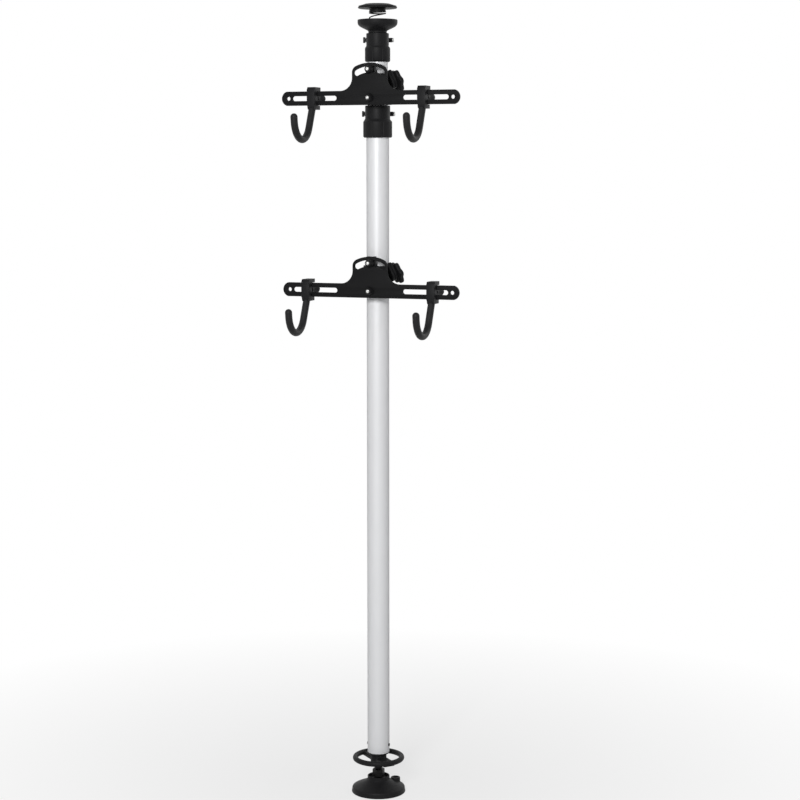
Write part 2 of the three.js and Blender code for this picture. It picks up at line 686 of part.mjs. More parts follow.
// Clamp body: one split ring round the liner, with two ears at the slit and a web that carries the arm plate
function clampBody() {
  const outer = clampRingInner + clampRingWall;
  const webTop = arcSlotRadius + clampWebMargin;
  const slopeTop = webTop - clampWebFlangeHeight;
  const web = new THREE.Shape();
  web.moveTo(-clampWebFront, -clampWebBelow);
  web.lineTo(-clampRingInner, -clampWebBelow);
  web.lineTo(-clampRingInner, slopeTop - clampWebSlopeHeight);
  web.lineTo(-clampWebFront + clampWebFlange, slopeTop);
  web.lineTo(-clampWebFront + clampWebFlange, webTop);
  web.lineTo(-clampWebFront, webTop);
  const upright = new THREE.ExtrudeGeometry(web, { depth: clampWebWidth, bevelEnabled: false })
    .rotateX(quarter).rotateZ(quarter).translate(-clampWebWidth / 2, 0, 0);
  const screwHole = (height) => moved(
    rod(armScrewRadius + seatGap, 0, armScrewDepth + overrun, tinySides),
    facing(new THREE.Vector3(0, 1, 0), new THREE.Vector3(0, -clampWebFront - overrun, height)));
  const slantedSlit = block(
    [-outer, clampSlitInward], [-outer, outer], [(earStack - clampSlit) / 2, (earStack + clampSlit) / 2]);
  const uprightSlit = block(
    [clampRingInner - overrun, outer + overrun], [-clampSlit / 2, clampSlit / 2],
    [-clampRingBelow - overrun, clampSlitTop]);
  return cutBy(
    joined(rod(outer, -clampRingBelow, clampRingAbove, roundSides), solidOf(upright), moved(clampEars(), alongBolt)),
    rod(clampRingInner, -clampRingBelow - overrun, webTop + overrun, tubeSides),
    moved(slantedSlit, alongBolt),
    moved(uprightSlit, turnedAboutZ(clampSlitAzimuth)),
    moved(
      rod(clampKnobRadius + clampKnobLobeHeight + knobRelief, earStack, earStack + 2 * clampRingInner, roundSides), alongBolt),
    moved(rod(boltRadius + seatGap, -overrun, earStack + overrun, smallSides), alongBolt),
    moved(rod(earRecessRadius, -overrun, earRecessDepth, smallSides), alongBolt),
    screwHole(0),
    screwHole(arcSlotRadius),
  );
}

// Arm plate: two slotted arms with a dome that holds the arc slot
function armPlate() {
  const endAngle = Math.asin(armHalfHeight / armEndRadius);
  const endCentre = armReach - armEndRadius;
  const filletX = domeHalfWidth + domeFilletRadius;
  const filletZ = armHalfHeight + domeFilletRadius;
  const shoulderX = domeHalfWidth - domeShoulderRadius;
  const shoulderZ = Math.sqrt((domeRadius - domeShoulderRadius) ** 2 - shoulderX ** 2);
  const shoulderAngle = Math.atan2(shoulderZ, shoulderX);
  const outline = new THREE.Shape();
  outline.absarc(endCentre, 0, armEndRadius, -endAngle, endAngle, false);
  outline.absarc(filletX, filletZ, domeFilletRadius, -quarter, -2 * quarter, true);
  outline.absarc(shoulderX, shoulderZ, domeShoulderRadius, 0, shoulderAngle, false);
  outline.absarc(0, 0, domeRadius, shoulderAngle, 2 * quarter - shoulderAngle, false);
  outline.absarc(-shoulderX, shoulderZ, domeShoulderRadius, 2 * quarter - shoulderAngle, 2 * quarter, false);
  outline.absarc(-filletX, filletZ, domeFilletRadius, 0, -quarter, true);
  outline.absarc(-endCentre, 0, armEndRadius, 2 * quarter - endAngle, 2 * quarter + endAngle, false);
  for (const side of [1, -1]) {
    const slot = new THREE.Path();
    const start = side * quarter;
    slot.absarc(side * (armSlotInner + armSlotHalfHeight), 0, armSlotHalfHeight, start, start + 2 * quarter, false);
    slot.absarc(side * (armReach - armSlotInset - armSlotHalfHeight), 0, armSlotHalfHeight, -start, -start + 2 * quarter, false);
    outline.holes.push(slot);
  }
  const reach = toRadians(arcSlotHalfAngle);
  const arc = new THREE.Path();
  const endOf = (angle) => [arcSlotRadius * Math.cos(angle), arcSlotRadius * Math.sin(angle)];
  arc.absarc(0, 0, arcSlotRadius + arcSlotHalfWidth, quarter - reach, quarter + reach, false);
  arc.absarc(...endOf(quarter + reach), arcSlotHalfWidth, quarter + reach, 3 * quarter + reach, false);
  arc.absarc(0, 0, arcSlotRadius - arcSlotHalfWidth, quarter + reach, quarter - reach, true);
  arc.absarc(...endOf(quarter - reach), arcSlotHalfWidth, -quarter - reach, quarter - reach, false);
  outline.holes.push(arc);
  const back = -clampWebFront - seatGap;
  const roundHole = (radius, side) => moved(
    rod(radius, -overrun, plateThickness + overrun, smallSides),
    facing(new THREE.Vector3(0, -1, 0), new THREE.Vector3(side * (armReach - armHoleInset), back, 0)));
  return cutBy(
    plateSolid(outline, back, plateThickness, arcSteps),
    roundHole(armHoleRadius, 1), roundHole(armHoleRadius, -1), roundHole(bushNeckRadius + seatGap, 0));
}

// Shouldered bush and domed screw on a line towards -Y, measured forwards from the clamp's front face
function bush() {
  const shoulder = 2 * seatGap + plateThickness;
  const front = shoulder + bushHeight;
  const bore = armScrewRadius + seatGap;
  return turned([
    [bore, seatGap], [bushNeckRadius, seatGap], [bushNeckRadius, shoulder], [bushBaseRadius, shoulder],
    [bushFrontRadius, front], [bore, front], [bore, seatGap],
  ], smallSides);
}
function armScrew() {
  const headBase = 3 * seatGap + plateThickness + bushHeight;
  return turned([
    [0, -armScrewDepth + seatGap], [armScrewRadius, -armScrewDepth + seatGap], [armScrewRadius, headBase],
    [armScrewHeadRadius, headBase], [armScrewHeadRadius, headBase + armScrewHeadHeight / 2],
    [armScrewHeadRadius / 2, headBase + armScrewHeadHeight], [0, headBase + armScrewHeadHeight],
  ], tinySides);
}

// Hook block: a slim housing that wraps the arm's edges, with a tongue in the slot and a stud behind it
const plateFront = -clampWebFront - seatGap - plateThickness;
const blockBack = plateFront - seatGap;
const blockFront = blockBack - blockDepth;
const lipBack = blockBack + blockLipReach;
const hookMouth = new THREE.Vector3(0, blockFront + hookBlockInset, -blockBelow);
function hookBlock() {
  const side = new THREE.Shape();
  side.moveTo(lipBack, -blockBelow);
  side.lineTo(lipBack, -blockLipInside);
  side.lineTo(blockBack, -blockLipInside);
  side.lineTo(blockBack, blockLipInside);
  side.lineTo(lipBack, blockLipInside);
  side.lineTo(lipBack, blockAbove);
  side.lineTo(blockFront + blockTopSlope, blockAbove);
  side.lineTo(blockFront, blockAbove - blockTopSlopeHeight);
  side.lineTo(blockFront, -blockBelow + blockBottomSlopeHeight);
  side.lineTo(blockFront + blockBottomSlope, -blockBelow);
  const housing = new THREE.ExtrudeGeometry(side, { depth: blockWidth, bevelEnabled: false })
    .rotateX(quarter).rotateZ(quarter).translate(-blockWidth / 2, 0, 0);
  const tongueHalf = armSlotHalfHeight - tongueSlack;
  const tongue = block(
    [-tongueLength / 2, tongueLength / 2], [blockBack - overrun, plateFront + plateThickness - overrun / 4],
    [-tongueHalf, tongueHalf]);
  const stud = moved(
    rod(studRadius, 0, studReach + plateThickness, tinySides),
    facing(new THREE.Vector3(0, 1, 0), new THREE.Vector3(0, plateFront, 0)));
  const footCuts = [1, -1].map((hand) => {
    const outside = hand * (blockWidth / 2 + overrun);
    const inside = hand * (blockWidth / 2 - blockFootInset);
    return block(
      [Math.min(outside, inside), Math.max(outside, inside)], [blockFront - overrun, lipBack + overrun],
      [-blockBelow - overrun, -blockLipInside - seatGap]);
  });
  const bore = rod(hookCoreRadius + seatGap, -blockBelow - overrun, hookCoreLength - blockBelow + seatGap, smallSides);
  return cutBy(
    joined(solidOf(housing), tongue, stud), ...footCuts,
    moved(bore, new THREE.Matrix4().makeTranslation(0, hookMouth.y, 0)));
}

// The hook's middle line below its block: slanted stem, round bend and a tip that leans out
class HookLine extends THREE.Curve {
  getPoint(share, target = new THREE.Vector3()) {
    const slant = toRadians(hookSlant);
    const bend = Math.PI - slant - toRadians(hookTipLean);
    const stem = hookStemLength + 2 * hookRadius;
    const lengths = [stem, bend * hookBendRadius, hookTipLength];
    let run = share * lengths.reduce((sum, next) => sum + next);
    const fall = Math.min(run, stem) - 2 * hookRadius;
    const point = target.set(0, hookMouth.y - fall * Math.sin(slant), hookMouth.z - fall * Math.cos(slant));
    run = Math.max(run - stem, 0);
    const turn = Math.min(run, lengths[1]) / hookBendRadius;
    point.y -= hookBendRadius * (Math.cos(slant) - Math.cos(slant + turn));
    point.z -= hookBendRadius * (Math.sin(slant + turn) - Math.sin(slant));
    run = Math.max(run - lengths[1], 0);
    point.y -= run * Math.sin(toRadians(hookTipLean));
    point.z += run * Math.cos(toRadians(hookTipLean));
    return point;
  }
}
function hook() {
  const line = new HookLine();
  const section = new THREE.Shape().absarc(0, 0, hookRadius, 0, 4 * quarter, false);
  const coated = solidOf(new THREE.ExtrudeGeometry(section, {
    steps: hookSteps, curveSegments: hookSides, extrudePath: line,
  }));
  const tip = new THREE.SphereGeometry(hookRadius, 2 * hookSides, hookSides + 1).translate(...line.getPoint(1).toArray());
  const mouth = -blockBelow - seatGap;
  const above = block([-blockWidth, blockWidth], [blockFront - blockDepth, lipBack], [mouth, blockAbove]);
  const core = moved(
    rod(hookCoreRadius, mouth - hookRadius / 2, hookCoreLength - blockBelow, tinySides),
    new THREE.Matrix4().makeTranslation(0, hookMouth.y, 0));
  return joined(cutBy(joined(coated, solidOf(tip)), above), core);
}

// Hand nut behind the plate that locks a hook block in its slot: a fluted cone with its bore open behind
function handNut() {
  const cone = turned([
    [0, 0], [handNutCollarRadius, 0], [handNutCollarRadius, handNutCollarLength],
    [handNutRadius, handNutCollarLength + handNutFlareLength], [handNutRadius, handNutLength], [0, handNutLength],
  ], roundSides);
  const flute = rod(handNutFluteRadius, handNutCollarLength, handNutLength + overrun, tinySides);
  const reach = handNutRadius + handNutFluteRadius - handNutFluteDepth;
  const flutes = Array.from({ length: handNutFlutes }, (_, i) => moved(flute, new THREE.Matrix4().multiplyMatrices(
    turnedAboutZ((i + 1 / 2) * 2 * halfTurn / handNutFlutes),
    new THREE.Matrix4().makeTranslation(reach, 0, 0))));
  return cutBy(cone, rod(studRadius + seatGap, -overrun, handNutLength + overrun, smallSides), ...flutes);
}

// One bike mount at the height of its pivot, on a tube of the given radius
function buildMount(name, pivotHeight, tubeRadius) {
  const mount = new THREE.Group();
  mount.position.set(0, 0, pivotHeight);
  tower.add(mount);
  const liner = cutBy(
    ring(clampRingInner - seatGap, tubeRadius + seatGap, -clampRingBelow, linerAbove, tubeSides),
    moved(
      block([0, clampRingInner], [-linerSlit / 2, linerSlit / 2], [-clampRingBelow - overrun, linerAbove + overrun]),
      turnedAboutZ(2 * halfTurn / 3)));
  add(mount, `${name}_clamp_liner`, liner, 'nylon');
  add(mount, `${name}_clamp_body`, clampBody(), 'blackPlastic');

  const boltGroup = new THREE.Group();
  boltGroup.applyMatrix4(alongBolt);
  mount.add(boltGroup);
  const headStart = earRecessDepth - seatGap - boltHeadHeight;
  const knobStart = earStack + seatGap;
  const boltEnd = knobStart + knobStandoff + clampKnobBoreDepth;
  const bolt = turned([
    [0, headStart], [boltHeadRadius / 2, headStart], [boltHeadRadius, headStart + boltHeadHeight / 2],
    [boltHeadRadius, headStart + boltHeadHeight], [boltRadius, headStart + boltHeadHeight],
    [boltRadius, boltEnd - seatGap], [0, boltEnd - seatGap],
  ], tinySides);
  add(boltGroup, `${name}_clamp_bolt`, bolt, 'darkSteel');
  const knobGrip = moved(
    lobedGrip(clampKnobRadius, clampKnobLobeHeight, clampKnobLobes, clampKnobThickness, clampKnobEdge),
    atHeight(knobStart + knobStandoff));
  const knob = cutBy(
    joined(rod(clampKnobHubRadius, knobStart, knobStart + knobStandoff + clampKnobEdge, smallSides), knobGrip),
    rod(boltRadius + seatGap, knobStart - overrun, boltEnd, smallSides));
  add(boltGroup, `${name}_clamp_knob`, knob, 'blackPlastic');

  add(mount, `${name}_arm_plate`, armPlate(), 'blackMetal');
  for (const [place, height] of Object.entries({ pivot: 0, tilt: arcSlotRadius })) {
    const holder = new THREE.Group();
    holder.position.set(0, -clampWebFront, height);
    holder.rotation.x = quarter;
    mount.add(holder);
    add(holder, `${name}_${place}_bush`, bush(), 'blackPlastic');
    add(holder, `${name}_${place}_screw`, armScrew(), 'steel');
  }
  for (const [i, [hand, side]] of Object.entries({ left: -1, right: 1 }).entries()) {
    const slider = new THREE.Group();
    slider.position.x = side * (armReach - hookInsets[name][i]);
    mount.add(slider);
    add(slider, `${name}_${hand}_hook_block`, hookBlock(), 'blackPlastic');
    add(slider, `${name}_${hand}_hook`, hook(), 'rubber');
    const nutHolder = new THREE.Group();
    nutHolder.position.y = plateFront + plateThickness + seatGap;
    nutHolder.rotation.x = -quarter;
    slider.add(nutHolder);
    add(nutHolder, `${name}_${hand}_hook_nut`, handNut(), 'blackPlastic');
  }
}

// Heights, from the floor up: each piece stands on what carries it
const lowerTubeTop = tubeBottom + lowerTubeLength;
const collarTopAt = (topOfTube, sizes) => (
  topOfTube - sizes.seatDepth + sizes.skirtHeight + sizes.taperHeight + sizes.ringHeight);
const lowerPivotHeight = lowerTubeTop - lowerMountDrop;
const upperPivotHeight = collarTopAt(lowerTubeTop, lowerCollar) + upperMountGap + clampRingBelow;
const middleTubeTop = upperPivotHeight + clampRingAbove + upperMountRoom + upperCollar.seatDepth;
const upperTubeTop = collarTopAt(middleTubeTop, upperCollar) + upperTubeShow;
const middleTubeBottom = tubeBottom + middleTubeStart;
buildFoot();
buildJack();
buildLowerTube();
buildCollar('lower', lowerCollar, lowerTubeTop, lowerTubeRadius, middleTubeRadius);
buildInnerTube(
  'middle', middleTubeRadius, middleTubeWall, middleTubeBottom, middleTubeTop, lowerTubeRadius - lowerTubeWall);
buildCollar('upper', upperCollar, middleTubeTop, middleTubeRadius, upperTubeRadius);
buildInnerTube(
  'upper', upperTubeRadius, upperTubeWall, middleTubeBottom + upperTubeStart, upperTubeTop,
  middleTubeRadius - middleTubeWall);
buildCeilingEnd(upperTubeTop);
buildMount('lower', lowerPivotHeight, lowerTubeRadius);
buildMount('upper', upperPivotHeight, middleTubeRadius);

export default tower;
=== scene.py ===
# Bike storage tower, dressed for a picture: a silver telescoping pole with a black jack foot, a sprung
# ceiling pad and two tilting arms with rubber-coated hooks. Metres, +Z up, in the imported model's frame.

import math

import bmesh
import bpy
from mathutils import Matrix, Vector


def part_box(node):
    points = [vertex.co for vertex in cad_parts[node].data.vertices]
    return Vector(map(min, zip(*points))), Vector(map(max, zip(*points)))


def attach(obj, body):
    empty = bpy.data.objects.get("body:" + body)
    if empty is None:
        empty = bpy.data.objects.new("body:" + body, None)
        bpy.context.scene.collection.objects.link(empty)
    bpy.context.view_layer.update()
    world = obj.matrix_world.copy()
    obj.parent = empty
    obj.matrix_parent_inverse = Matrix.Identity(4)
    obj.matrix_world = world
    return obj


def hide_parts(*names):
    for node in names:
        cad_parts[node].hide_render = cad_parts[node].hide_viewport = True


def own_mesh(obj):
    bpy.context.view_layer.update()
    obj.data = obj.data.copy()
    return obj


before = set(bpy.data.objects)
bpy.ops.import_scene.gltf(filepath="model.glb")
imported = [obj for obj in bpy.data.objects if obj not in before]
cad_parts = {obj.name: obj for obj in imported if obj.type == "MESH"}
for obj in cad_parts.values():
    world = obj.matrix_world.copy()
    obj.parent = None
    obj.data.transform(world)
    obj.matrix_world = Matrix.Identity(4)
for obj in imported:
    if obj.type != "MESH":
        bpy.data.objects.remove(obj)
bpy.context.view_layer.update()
mm = 0.001

# Camera
# It stands a little to the right of the arms' square view, at chest height, and looks slightly down
# at the whole tower from across a room.
view_azimuth = math.radians(20)
view_distance = 3800 * mm
view_height = 1280 * mm
view_pitch = math.radians(6.975)
view_yaw = math.radians(0.667)
view_data = bpy.data.cameras.new("camera")
view_data.lens = 85.41
view_data.sensor_width = 36
view_data.clip_end = 60
camera = bpy.data.objects.new("camera", view_data)
camera.location = (
    view_distance * math.sin(view_azimuth),
    -view_distance * math.cos(view_azimuth),
    view_height,
)
camera.rotation_euler = (math.pi / 2 - view_pitch, 0, view_azimuth - view_yaw)
bpy.context.collection.objects.link(camera)
bpy.context.scene.camera = camera
bpy.context.scene.view_settings.view_transform = "Standard"


# Foot base
# A moulded foot of black glass-filled nylon. Its low cone rises to a socket collar for the jack's ball,
# with a raised boss for one floor screw and a flush hole for another.
class Amount:
    """A number that varies over a surface; Python's operators turn it into Math nodes."""

    def __init__(self, wiring, socket):
        self.wiring = wiring
        self.socket = socket

    def __add__(self, other):
        return self.wiring.math("ADD", self, other)

    def __sub__(self, other):
        return self.wiring.math("SUBTRACT", self, other)

    def __mul__(self, other):
        return self.wiring.math("MULTIPLY", self, other)

    __radd__ = __add__


class Wiring:
    """A tree of nodes, and the one method that adds any node to it."""

    def __init__(self, tree):
        self.tree = tree

    def feed(self, socket, value):
        """Sets a socket to a constant, or links it to an amount, another socket or a node's first output."""
        source = value.socket if isinstance(value, Amount) else value
        if isinstance(source, bpy.types.Node):
            source = source.outputs[0]
        if isinstance(source, bpy.types.NodeSocket):
            self.tree.links.new(source, socket)
        else:
            socket.default_value = source

    def node(self, kind, values=None, **settings):
        made = self.tree.nodes.new(kind)
        for key, setting in settings.items():
            setattr(made, key, setting)
        for key, value in (values or {}).items():
            self.feed(made.inputs[key], value)
        return made

    def math(self, operation, first, second):
        made = self.node("ShaderNodeMath", {0: first, 1: second}, operation=operation)
        return Amount(self, made.outputs[0])


class Finish(Wiring):
    """One surface finish: a Principled shader, and the patterns that vary its colour, roughness and bump."""

    def __init__(self, name, roughness, metallic=0.0, specular=0.1):
        self.material = bpy.data.materials.new(name)
        self.material.use_nodes = True
        super().__init__(self.material.node_tree)
        self.shader = self.tree.nodes["Principled BSDF"]
        self.shader.inputs["Roughness"].default_value = roughness
        self.shader.inputs["Metallic"].default_value = metallic
        self.shader.inputs["Specular IOR Level"].default_value = specular
        self.place = self.node("ShaderNodeTexCoord").outputs["Object"]

    def stretched(self, scale):
        return self.node("ShaderNodeMapping", {"Vector": self.place, "Scale": scale}).outputs[0]

    def noise(self, scale, detail=2.0, place=None):
        values = {"Vector": place or self.place, "Scale": scale, "Detail": detail}
        return Amount(self, self.node("ShaderNodeTexNoise", values).outputs["Fac"])

    def spots(self, amount, low, high):
        """None where the amount is under low, full where it is over high."""
        ramp = self.node("ShaderNodeValToRGB", {"Fac": amount})
        for element, position in zip(ramp.color_ramp.elements, (low, high)):
            element.position = position
        return Amount(self, ramp.outputs["Color"])

    def color(self, share, first, second):
        values = {0: share, 6: (*first, 1), 7: (*second, 1)}
        mix = self.node("ShaderNodeMix", values, data_type="RGBA")
        self.feed(self.shader.inputs["Base Color"], mix.outputs[2])

    def rough(self, amount):
        self.feed(self.shader.inputs["Roughness"], amount)

    def bump(self, height, strength, depth):
        values = {"Height": height, "Strength": strength, "Distance": depth}
        self.feed(self.shader.inputs["Normal"], self.node("ShaderNodeBump", values))


def moulded(name, dark, light, roughness, grain=900):
    """Moulded plastic: an even spark-eroded grain, faint flow marks and a few paler rub marks."""
    finish = Finish(name, roughness)
    texture = finish.noise(grain, 3)
    flow = finish.noise(14, 3)
    rubbed = finish.spots(finish.noise(46, 6), 0.60, 0.78)
    finish.color(flow * 0.6 + rubbed * 0.35, dark, light)
    finish.rough(roughness - 0.06 + texture * 0.12 - rubbed * 0.05)
    finish.bump(texture + flow * 0.4, 0.35, 0.00012)
    return finish.material


black_moulding = moulded("black_moulding", (0.0075, 0.0075, 0.008), (0.018, 0.018, 0.019), 0.48)


def linked(name, data):
    """A mesh, curve or lamp as an object of the scene."""
    made = bpy.data.objects.new(name, data)
    bpy.context.collection.objects.link(made)
    return made


def solid(name, shape):
    """What a bmesh holds as a piece, its faces turned outward."""
    bmesh.ops.recalc_face_normals(shape, faces=shape.faces)
    mesh = bpy.data.meshes.new(name)
    shape.to_mesh(mesh)
    shape.free()
    return linked(name, mesh)


def turned(name, outline, sides=96):
    """A turned piece: (radius, height) pairs from axis to axis, or a loop that stays off the axis."""
    shape = bmesh.new()
    rings = []
    for radius, height in outline:
        if radius == 0:
            rings.append([shape.verts.new((0, 0, height))])
            continue
        angles = [2 * math.pi * i / sides for i in range(sides)]
        rings.append([shape.verts.new((radius * math.cos(a), radius * math.sin(a), height)) for a in angles])
    pairs = list(zip(rings, rings[1:]))
    if outline[0][0] > 0:
        pairs.append((rings[-1], rings[0]))
    for low, high in pairs:
        for i in range(sides):
            j = (i + 1) % sides
            corners = [low[i % len(low)], low[j % len(low)], high[j % len(high)], high[i % len(high)]]
            corners = list(dict.fromkeys(corners))
            if len(corners) > 2:
                shape.faces.new(corners)
    return solid(name, shape)


def rod(name, radius, low, high, sides=48):
    """A plain round bar along Z, which also serves as a drill."""
    return turned(name, [(0, low), (radius, low), (radius, high), (0, high)], sides)


def arc(centre, radius, start, end, steps=6):
    """Points of a rounded corner, for a turned outline or a flat one. Angles in degrees."""
    angles = [math.radians(start + (end - start) * i / steps) for i in range(steps + 1)]
    return [(centre[0] + radius * math.cos(a), centre[1] + radius * math.sin(a)) for a in angles]


def placed(piece, matrix):
    piece.data.transform(matrix)
    return piece


def flattened(piece):
    """Turns a piece and its modifiers into one plain mesh."""
    seen = bpy.context.evaluated_depsgraph_get()
    mesh = bpy.data.meshes.new_from_object(piece.evaluated_get(seen))
    piece.modifiers.clear()
    piece.data = mesh
    return piece


def combined(piece, operation, *tools):
    """A piece after a boolean with each tool, which is used up."""
    for tool in tools:
        step = piece.modifiers.new(operation, "BOOLEAN")
        step.operation = operation
        step.solver = "EXACT"
        step.object = tool
    flattened(piece)
    for tool in tools:
        bpy.data.objects.remove(tool)
    return piece


def cut(piece, *tools):
    return combined(piece, "DIFFERENCE", *tools)


def joined(piece, *parts):
    return combined(piece, "UNION", *parts)


def smoothed(piece, angle=32):
    """Shades a piece smooth between edges sharper than this angle in degrees."""
    piece.data.shade_smooth()
    piece.data.set_sharp_from_angle(angle=math.radians(angle))
    return piece


def eased(piece, width, segments=2):
    """Rounds a piece's sharp edges, if a width is given, and shades the rest smooth."""
    if width:
        edge = piece.modifiers.new("edge", "BEVEL")
        edge.width = width
        edge.segments = segments
        edge.limit_method = "ANGLE"
        edge.angle_limit = math.radians(38)
        edge.use_clamp_overlap = True
    return smoothed(flattened(piece))


def fitted(piece, material, body, slot, *nodes):
    """Gives a piece its finish, seats it on its body and lets it stand for its plain solids."""
    piece.data.materials.clear()
    piece.data.materials.append(material)
    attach(piece, body)
    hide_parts(*nodes)
    return piece


def lathed(name, outline, sides, material, body, slot, node):
    """A turned piece with no rounding of its own, finished and seated."""
    return fitted(eased(turned(name, outline, sides), 0), material, body, slot, node)


def about_z(degrees):
    return Matrix.Rotation(math.radians(degrees), 4, "Z")


def facing(axis, origin):
    """The place of a piece whose Z axis points along this axis from this origin."""
    turn = Vector(axis).to_track_quat("Z", "Y").to_matrix().to_4x4()
    return Matrix.Translation(origin) @ turn


base_low, base_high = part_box("foot_base")
foot_radius = base_high.x
foot_floor = base_low.z
collar_top = base_high.z
ball_centre = Vector((0, 0, 18 * mm))
rubber_recess = 51.1 * mm
recess_top = 4.3 * mm
socket_radius = 11.9 * mm
collar_bore = 20.6 * mm
collar_depth = 8.4 * mm
foot_outline = [
    (0, recess_top),
    (rubber_recess, recess_top),
    (rubber_recess, foot_floor),
    (foot_radius - 0.6 * mm, foot_floor),
    (foot_radius, foot_floor + 0.8 * mm),
    (foot_radius - 0.9 * mm, foot_floor + 6.7 * mm),
]
foot_outline += arc((foot_radius - 5.1 * mm, foot_floor + 7.9 * mm), 4.1 * mm, 8, 74)
foot_outline += [
    (44.8 * mm, 15.9 * mm),
    (32.6 * mm, 20.9 * mm),
    (26.5 * mm, 24.1 * mm),
    (24.3 * mm, 26 * mm),
    (22.7 * mm, 27.7 * mm),
    (22.6 * mm, collar_top - 0.6 * mm),
    (22 * mm, collar_top),
    (21 * mm, collar_top),
    (collar_bore, collar_top - 0.6 * mm),
    (collar_bore, collar_top - collar_depth),
    (socket_radius, collar_top - collar_depth),
]
foot_outline += arc((0, ball_centre.z), socket_radius, 0, -90, 12)[:-1]
foot_outline += [(0, ball_centre.z - socket_radius)]
foot = turned("foot_moulding", foot_outline, 128)
hole_reach = Matrix.Translation((39.6 * mm, 0, 0))
boss_place = about_z(48) @ hole_reach
flush_place = about_z(168) @ hole_reach
hole_radius = 4.2 * mm
hole_ends = (-4 * mm, 30 * mm)
boss_root = 8 * mm
boss_top = 24.4 * mm
sink_top = 28 * mm
boss_outline = [(0, boss_root), (10.1 * mm, boss_root), (9.7 * mm, boss_top - 0.9 * mm)]
boss_outline += [(8.8 * mm, boss_top), (0, boss_top)]
countersink = [(0, 21.6 * mm), (4.1 * mm, 21.6 * mm), (6.9 * mm, boss_top + 0.5 * mm), (6.9 * mm, sink_top)]
countersink += [(0, sink_top)]
joined(foot, placed(turned("boss", boss_outline, 48), boss_place))
cut(
    foot,
    placed(rod("boss_hole", hole_radius, *hole_ends, 32), boss_place),
    placed(turned("boss_sink", countersink, 32), boss_place),
    placed(rod("flush_hole", hole_radius, *hole_ends, 32), flush_place),
)
eased(foot, 0.35 * mm)
fitted(foot, black_moulding, "foot", "black_plastic", "foot_base")


# Foot rubber and the ball joint inside the foot
# A soft rubber disc is let into the underside. The ball seat and its retaining ring are nylon and plastic,
# pressed down over the jack's ball.
def soft_rubber(name, dark, light, grain):
    """Moulded rubber: dull, dusty in patches, with a very fine grain."""
    finish = Finish(name, 0.7, specular=0.35)
    texture = finish.noise(grain, 2)
    dust = finish.spots(finish.noise(60, 5), 0.50, 0.75)
    finish.color(dust * 0.5 + texture * 0.2, dark, light)
    finish.rough(0.66 + texture * 0.14)
    finish.bump(texture, 0.3, 0.00015)
    return finish.material


pad_rubber = soft_rubber("pad_rubber", (0.012, 0.012, 0.0125), (0.034, 0.034, 0.033), 1100)
rubber_low, rubber_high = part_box("foot_rubber_pad")
rubber_radius = rubber_high.x
groove_depth = 0.9 * mm
rubber_outline = [(0, 0)]
for step in range(6):
    start = (8 + 7 * step) * mm
    rubber_outline += [(start, 0), (start + 0.7 * mm, groove_depth)]
    rubber_outline += [(start + 1.9 * mm, groove_depth), (start + 2.6 * mm, 0)]
rubber_outline += [
    (rubber_radius - 0.5 * mm, 0),
    (rubber_radius, 0.5 * mm),
    (rubber_radius, rubber_high.z),
    (0, rubber_high.z),
]
lathed("foot_rubber", rubber_outline, 96, pad_rubber, "foot", "black_rubber", "foot_rubber_pad")

grey_nylon = moulded("grey_nylon", (0.10, 0.10, 0.105), (0.16, 0.16, 0.165), 0.5, 500)
keeper_low, keeper_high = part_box("foot_retaining_ring")
keeper_bore = 7.3 * mm
keeper_outline = [
    (keeper_bore, keeper_low.z),
    (keeper_high.x, keeper_low.z),
    (keeper_high.x, keeper_high.z - 0.5 * mm),
    (keeper_high.x - 0.5 * mm, keeper_high.z),
    (9.4 * mm, keeper_high.z),
    (keeper_bore, keeper_high.z - 1.4 * mm),
]
lathed("foot_keeper", keeper_outline, 96, black_moulding, "foot", "black_plastic", "foot_retaining_ring")

ball_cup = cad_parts["foot_ball_seat"]
ball_cup.data.materials.clear()
ball_cup.data.materials.append(grey_nylon)


# Jack screw and lock nut
# A steel rod with a ball end, blackened, with a coarse rolled thread above its hexagon. The thin lock nut
# sits on the hexagon and has the same finish.
def blackened(name):
    """Black oxide on turned steel: nearly black, with brown-grey wear and fine turning marks."""
    finish = Finish(name, 0.38, metallic=0.3)
    wear = finish.spots(finish.noise(120, 6), 0.48, 0.74)
    turning = finish.noise(40, 2, finish.stretched((1, 1, 40)))
    finish.color(wear, (0.010, 0.010, 0.0102), (0.026, 0.025, 0.024))
    finish.rough(0.34 + turning * 0.12 + wear * 0.08)
    finish.bump(turning, 0.2, 0.00006)
    return finish.material


black_oxide = blackened("black_oxide")


def wound(name, radius, pitch, turns, start, thickness):
    """A ridge wound up a rod by geometry nodes."""
    tree = bpy.data.node_groups.new("winding", "GeometryNodeTree")
    tree.interface.new_socket("Geometry", in_out="OUTPUT", socket_type="NodeSocketGeometry")
    wiring = Wiring(tree)
    sizes = {"Resolution": 40, "Rotations": turns, "Height": pitch * turns}
    path = wiring.node("GeometryNodeCurveSpiral", {**sizes, "Start Radius": radius, "End Radius": radius})
    lift = wiring.node("GeometryNodeTransform", {"Geometry": path, "Translation": (0, 0, start)})
    section = wiring.node("GeometryNodeCurvePrimitiveCircle", {"Resolution": 8, "Radius": thickness})
    settings = {"Curve": lift, "Profile Curve": section, "Fill Caps": True}
    wiring.node("NodeGroupOutput", {"Geometry": wiring.node("GeometryNodeCurveToMesh", settings)})
    piece = linked(name, bpy.data.meshes.new(name))
    piece.modifiers.new("winding", "NODES").node_group = tree
    return flattened(piece)


def united(name, *parts):
    """Several closed shells as one piece."""
    shape = bmesh.new()
    for part in parts:
        shape.from_mesh(part.data)
    for part in parts:
        bpy.data.objects.remove(part)
    return smoothed(solid(name, shape))


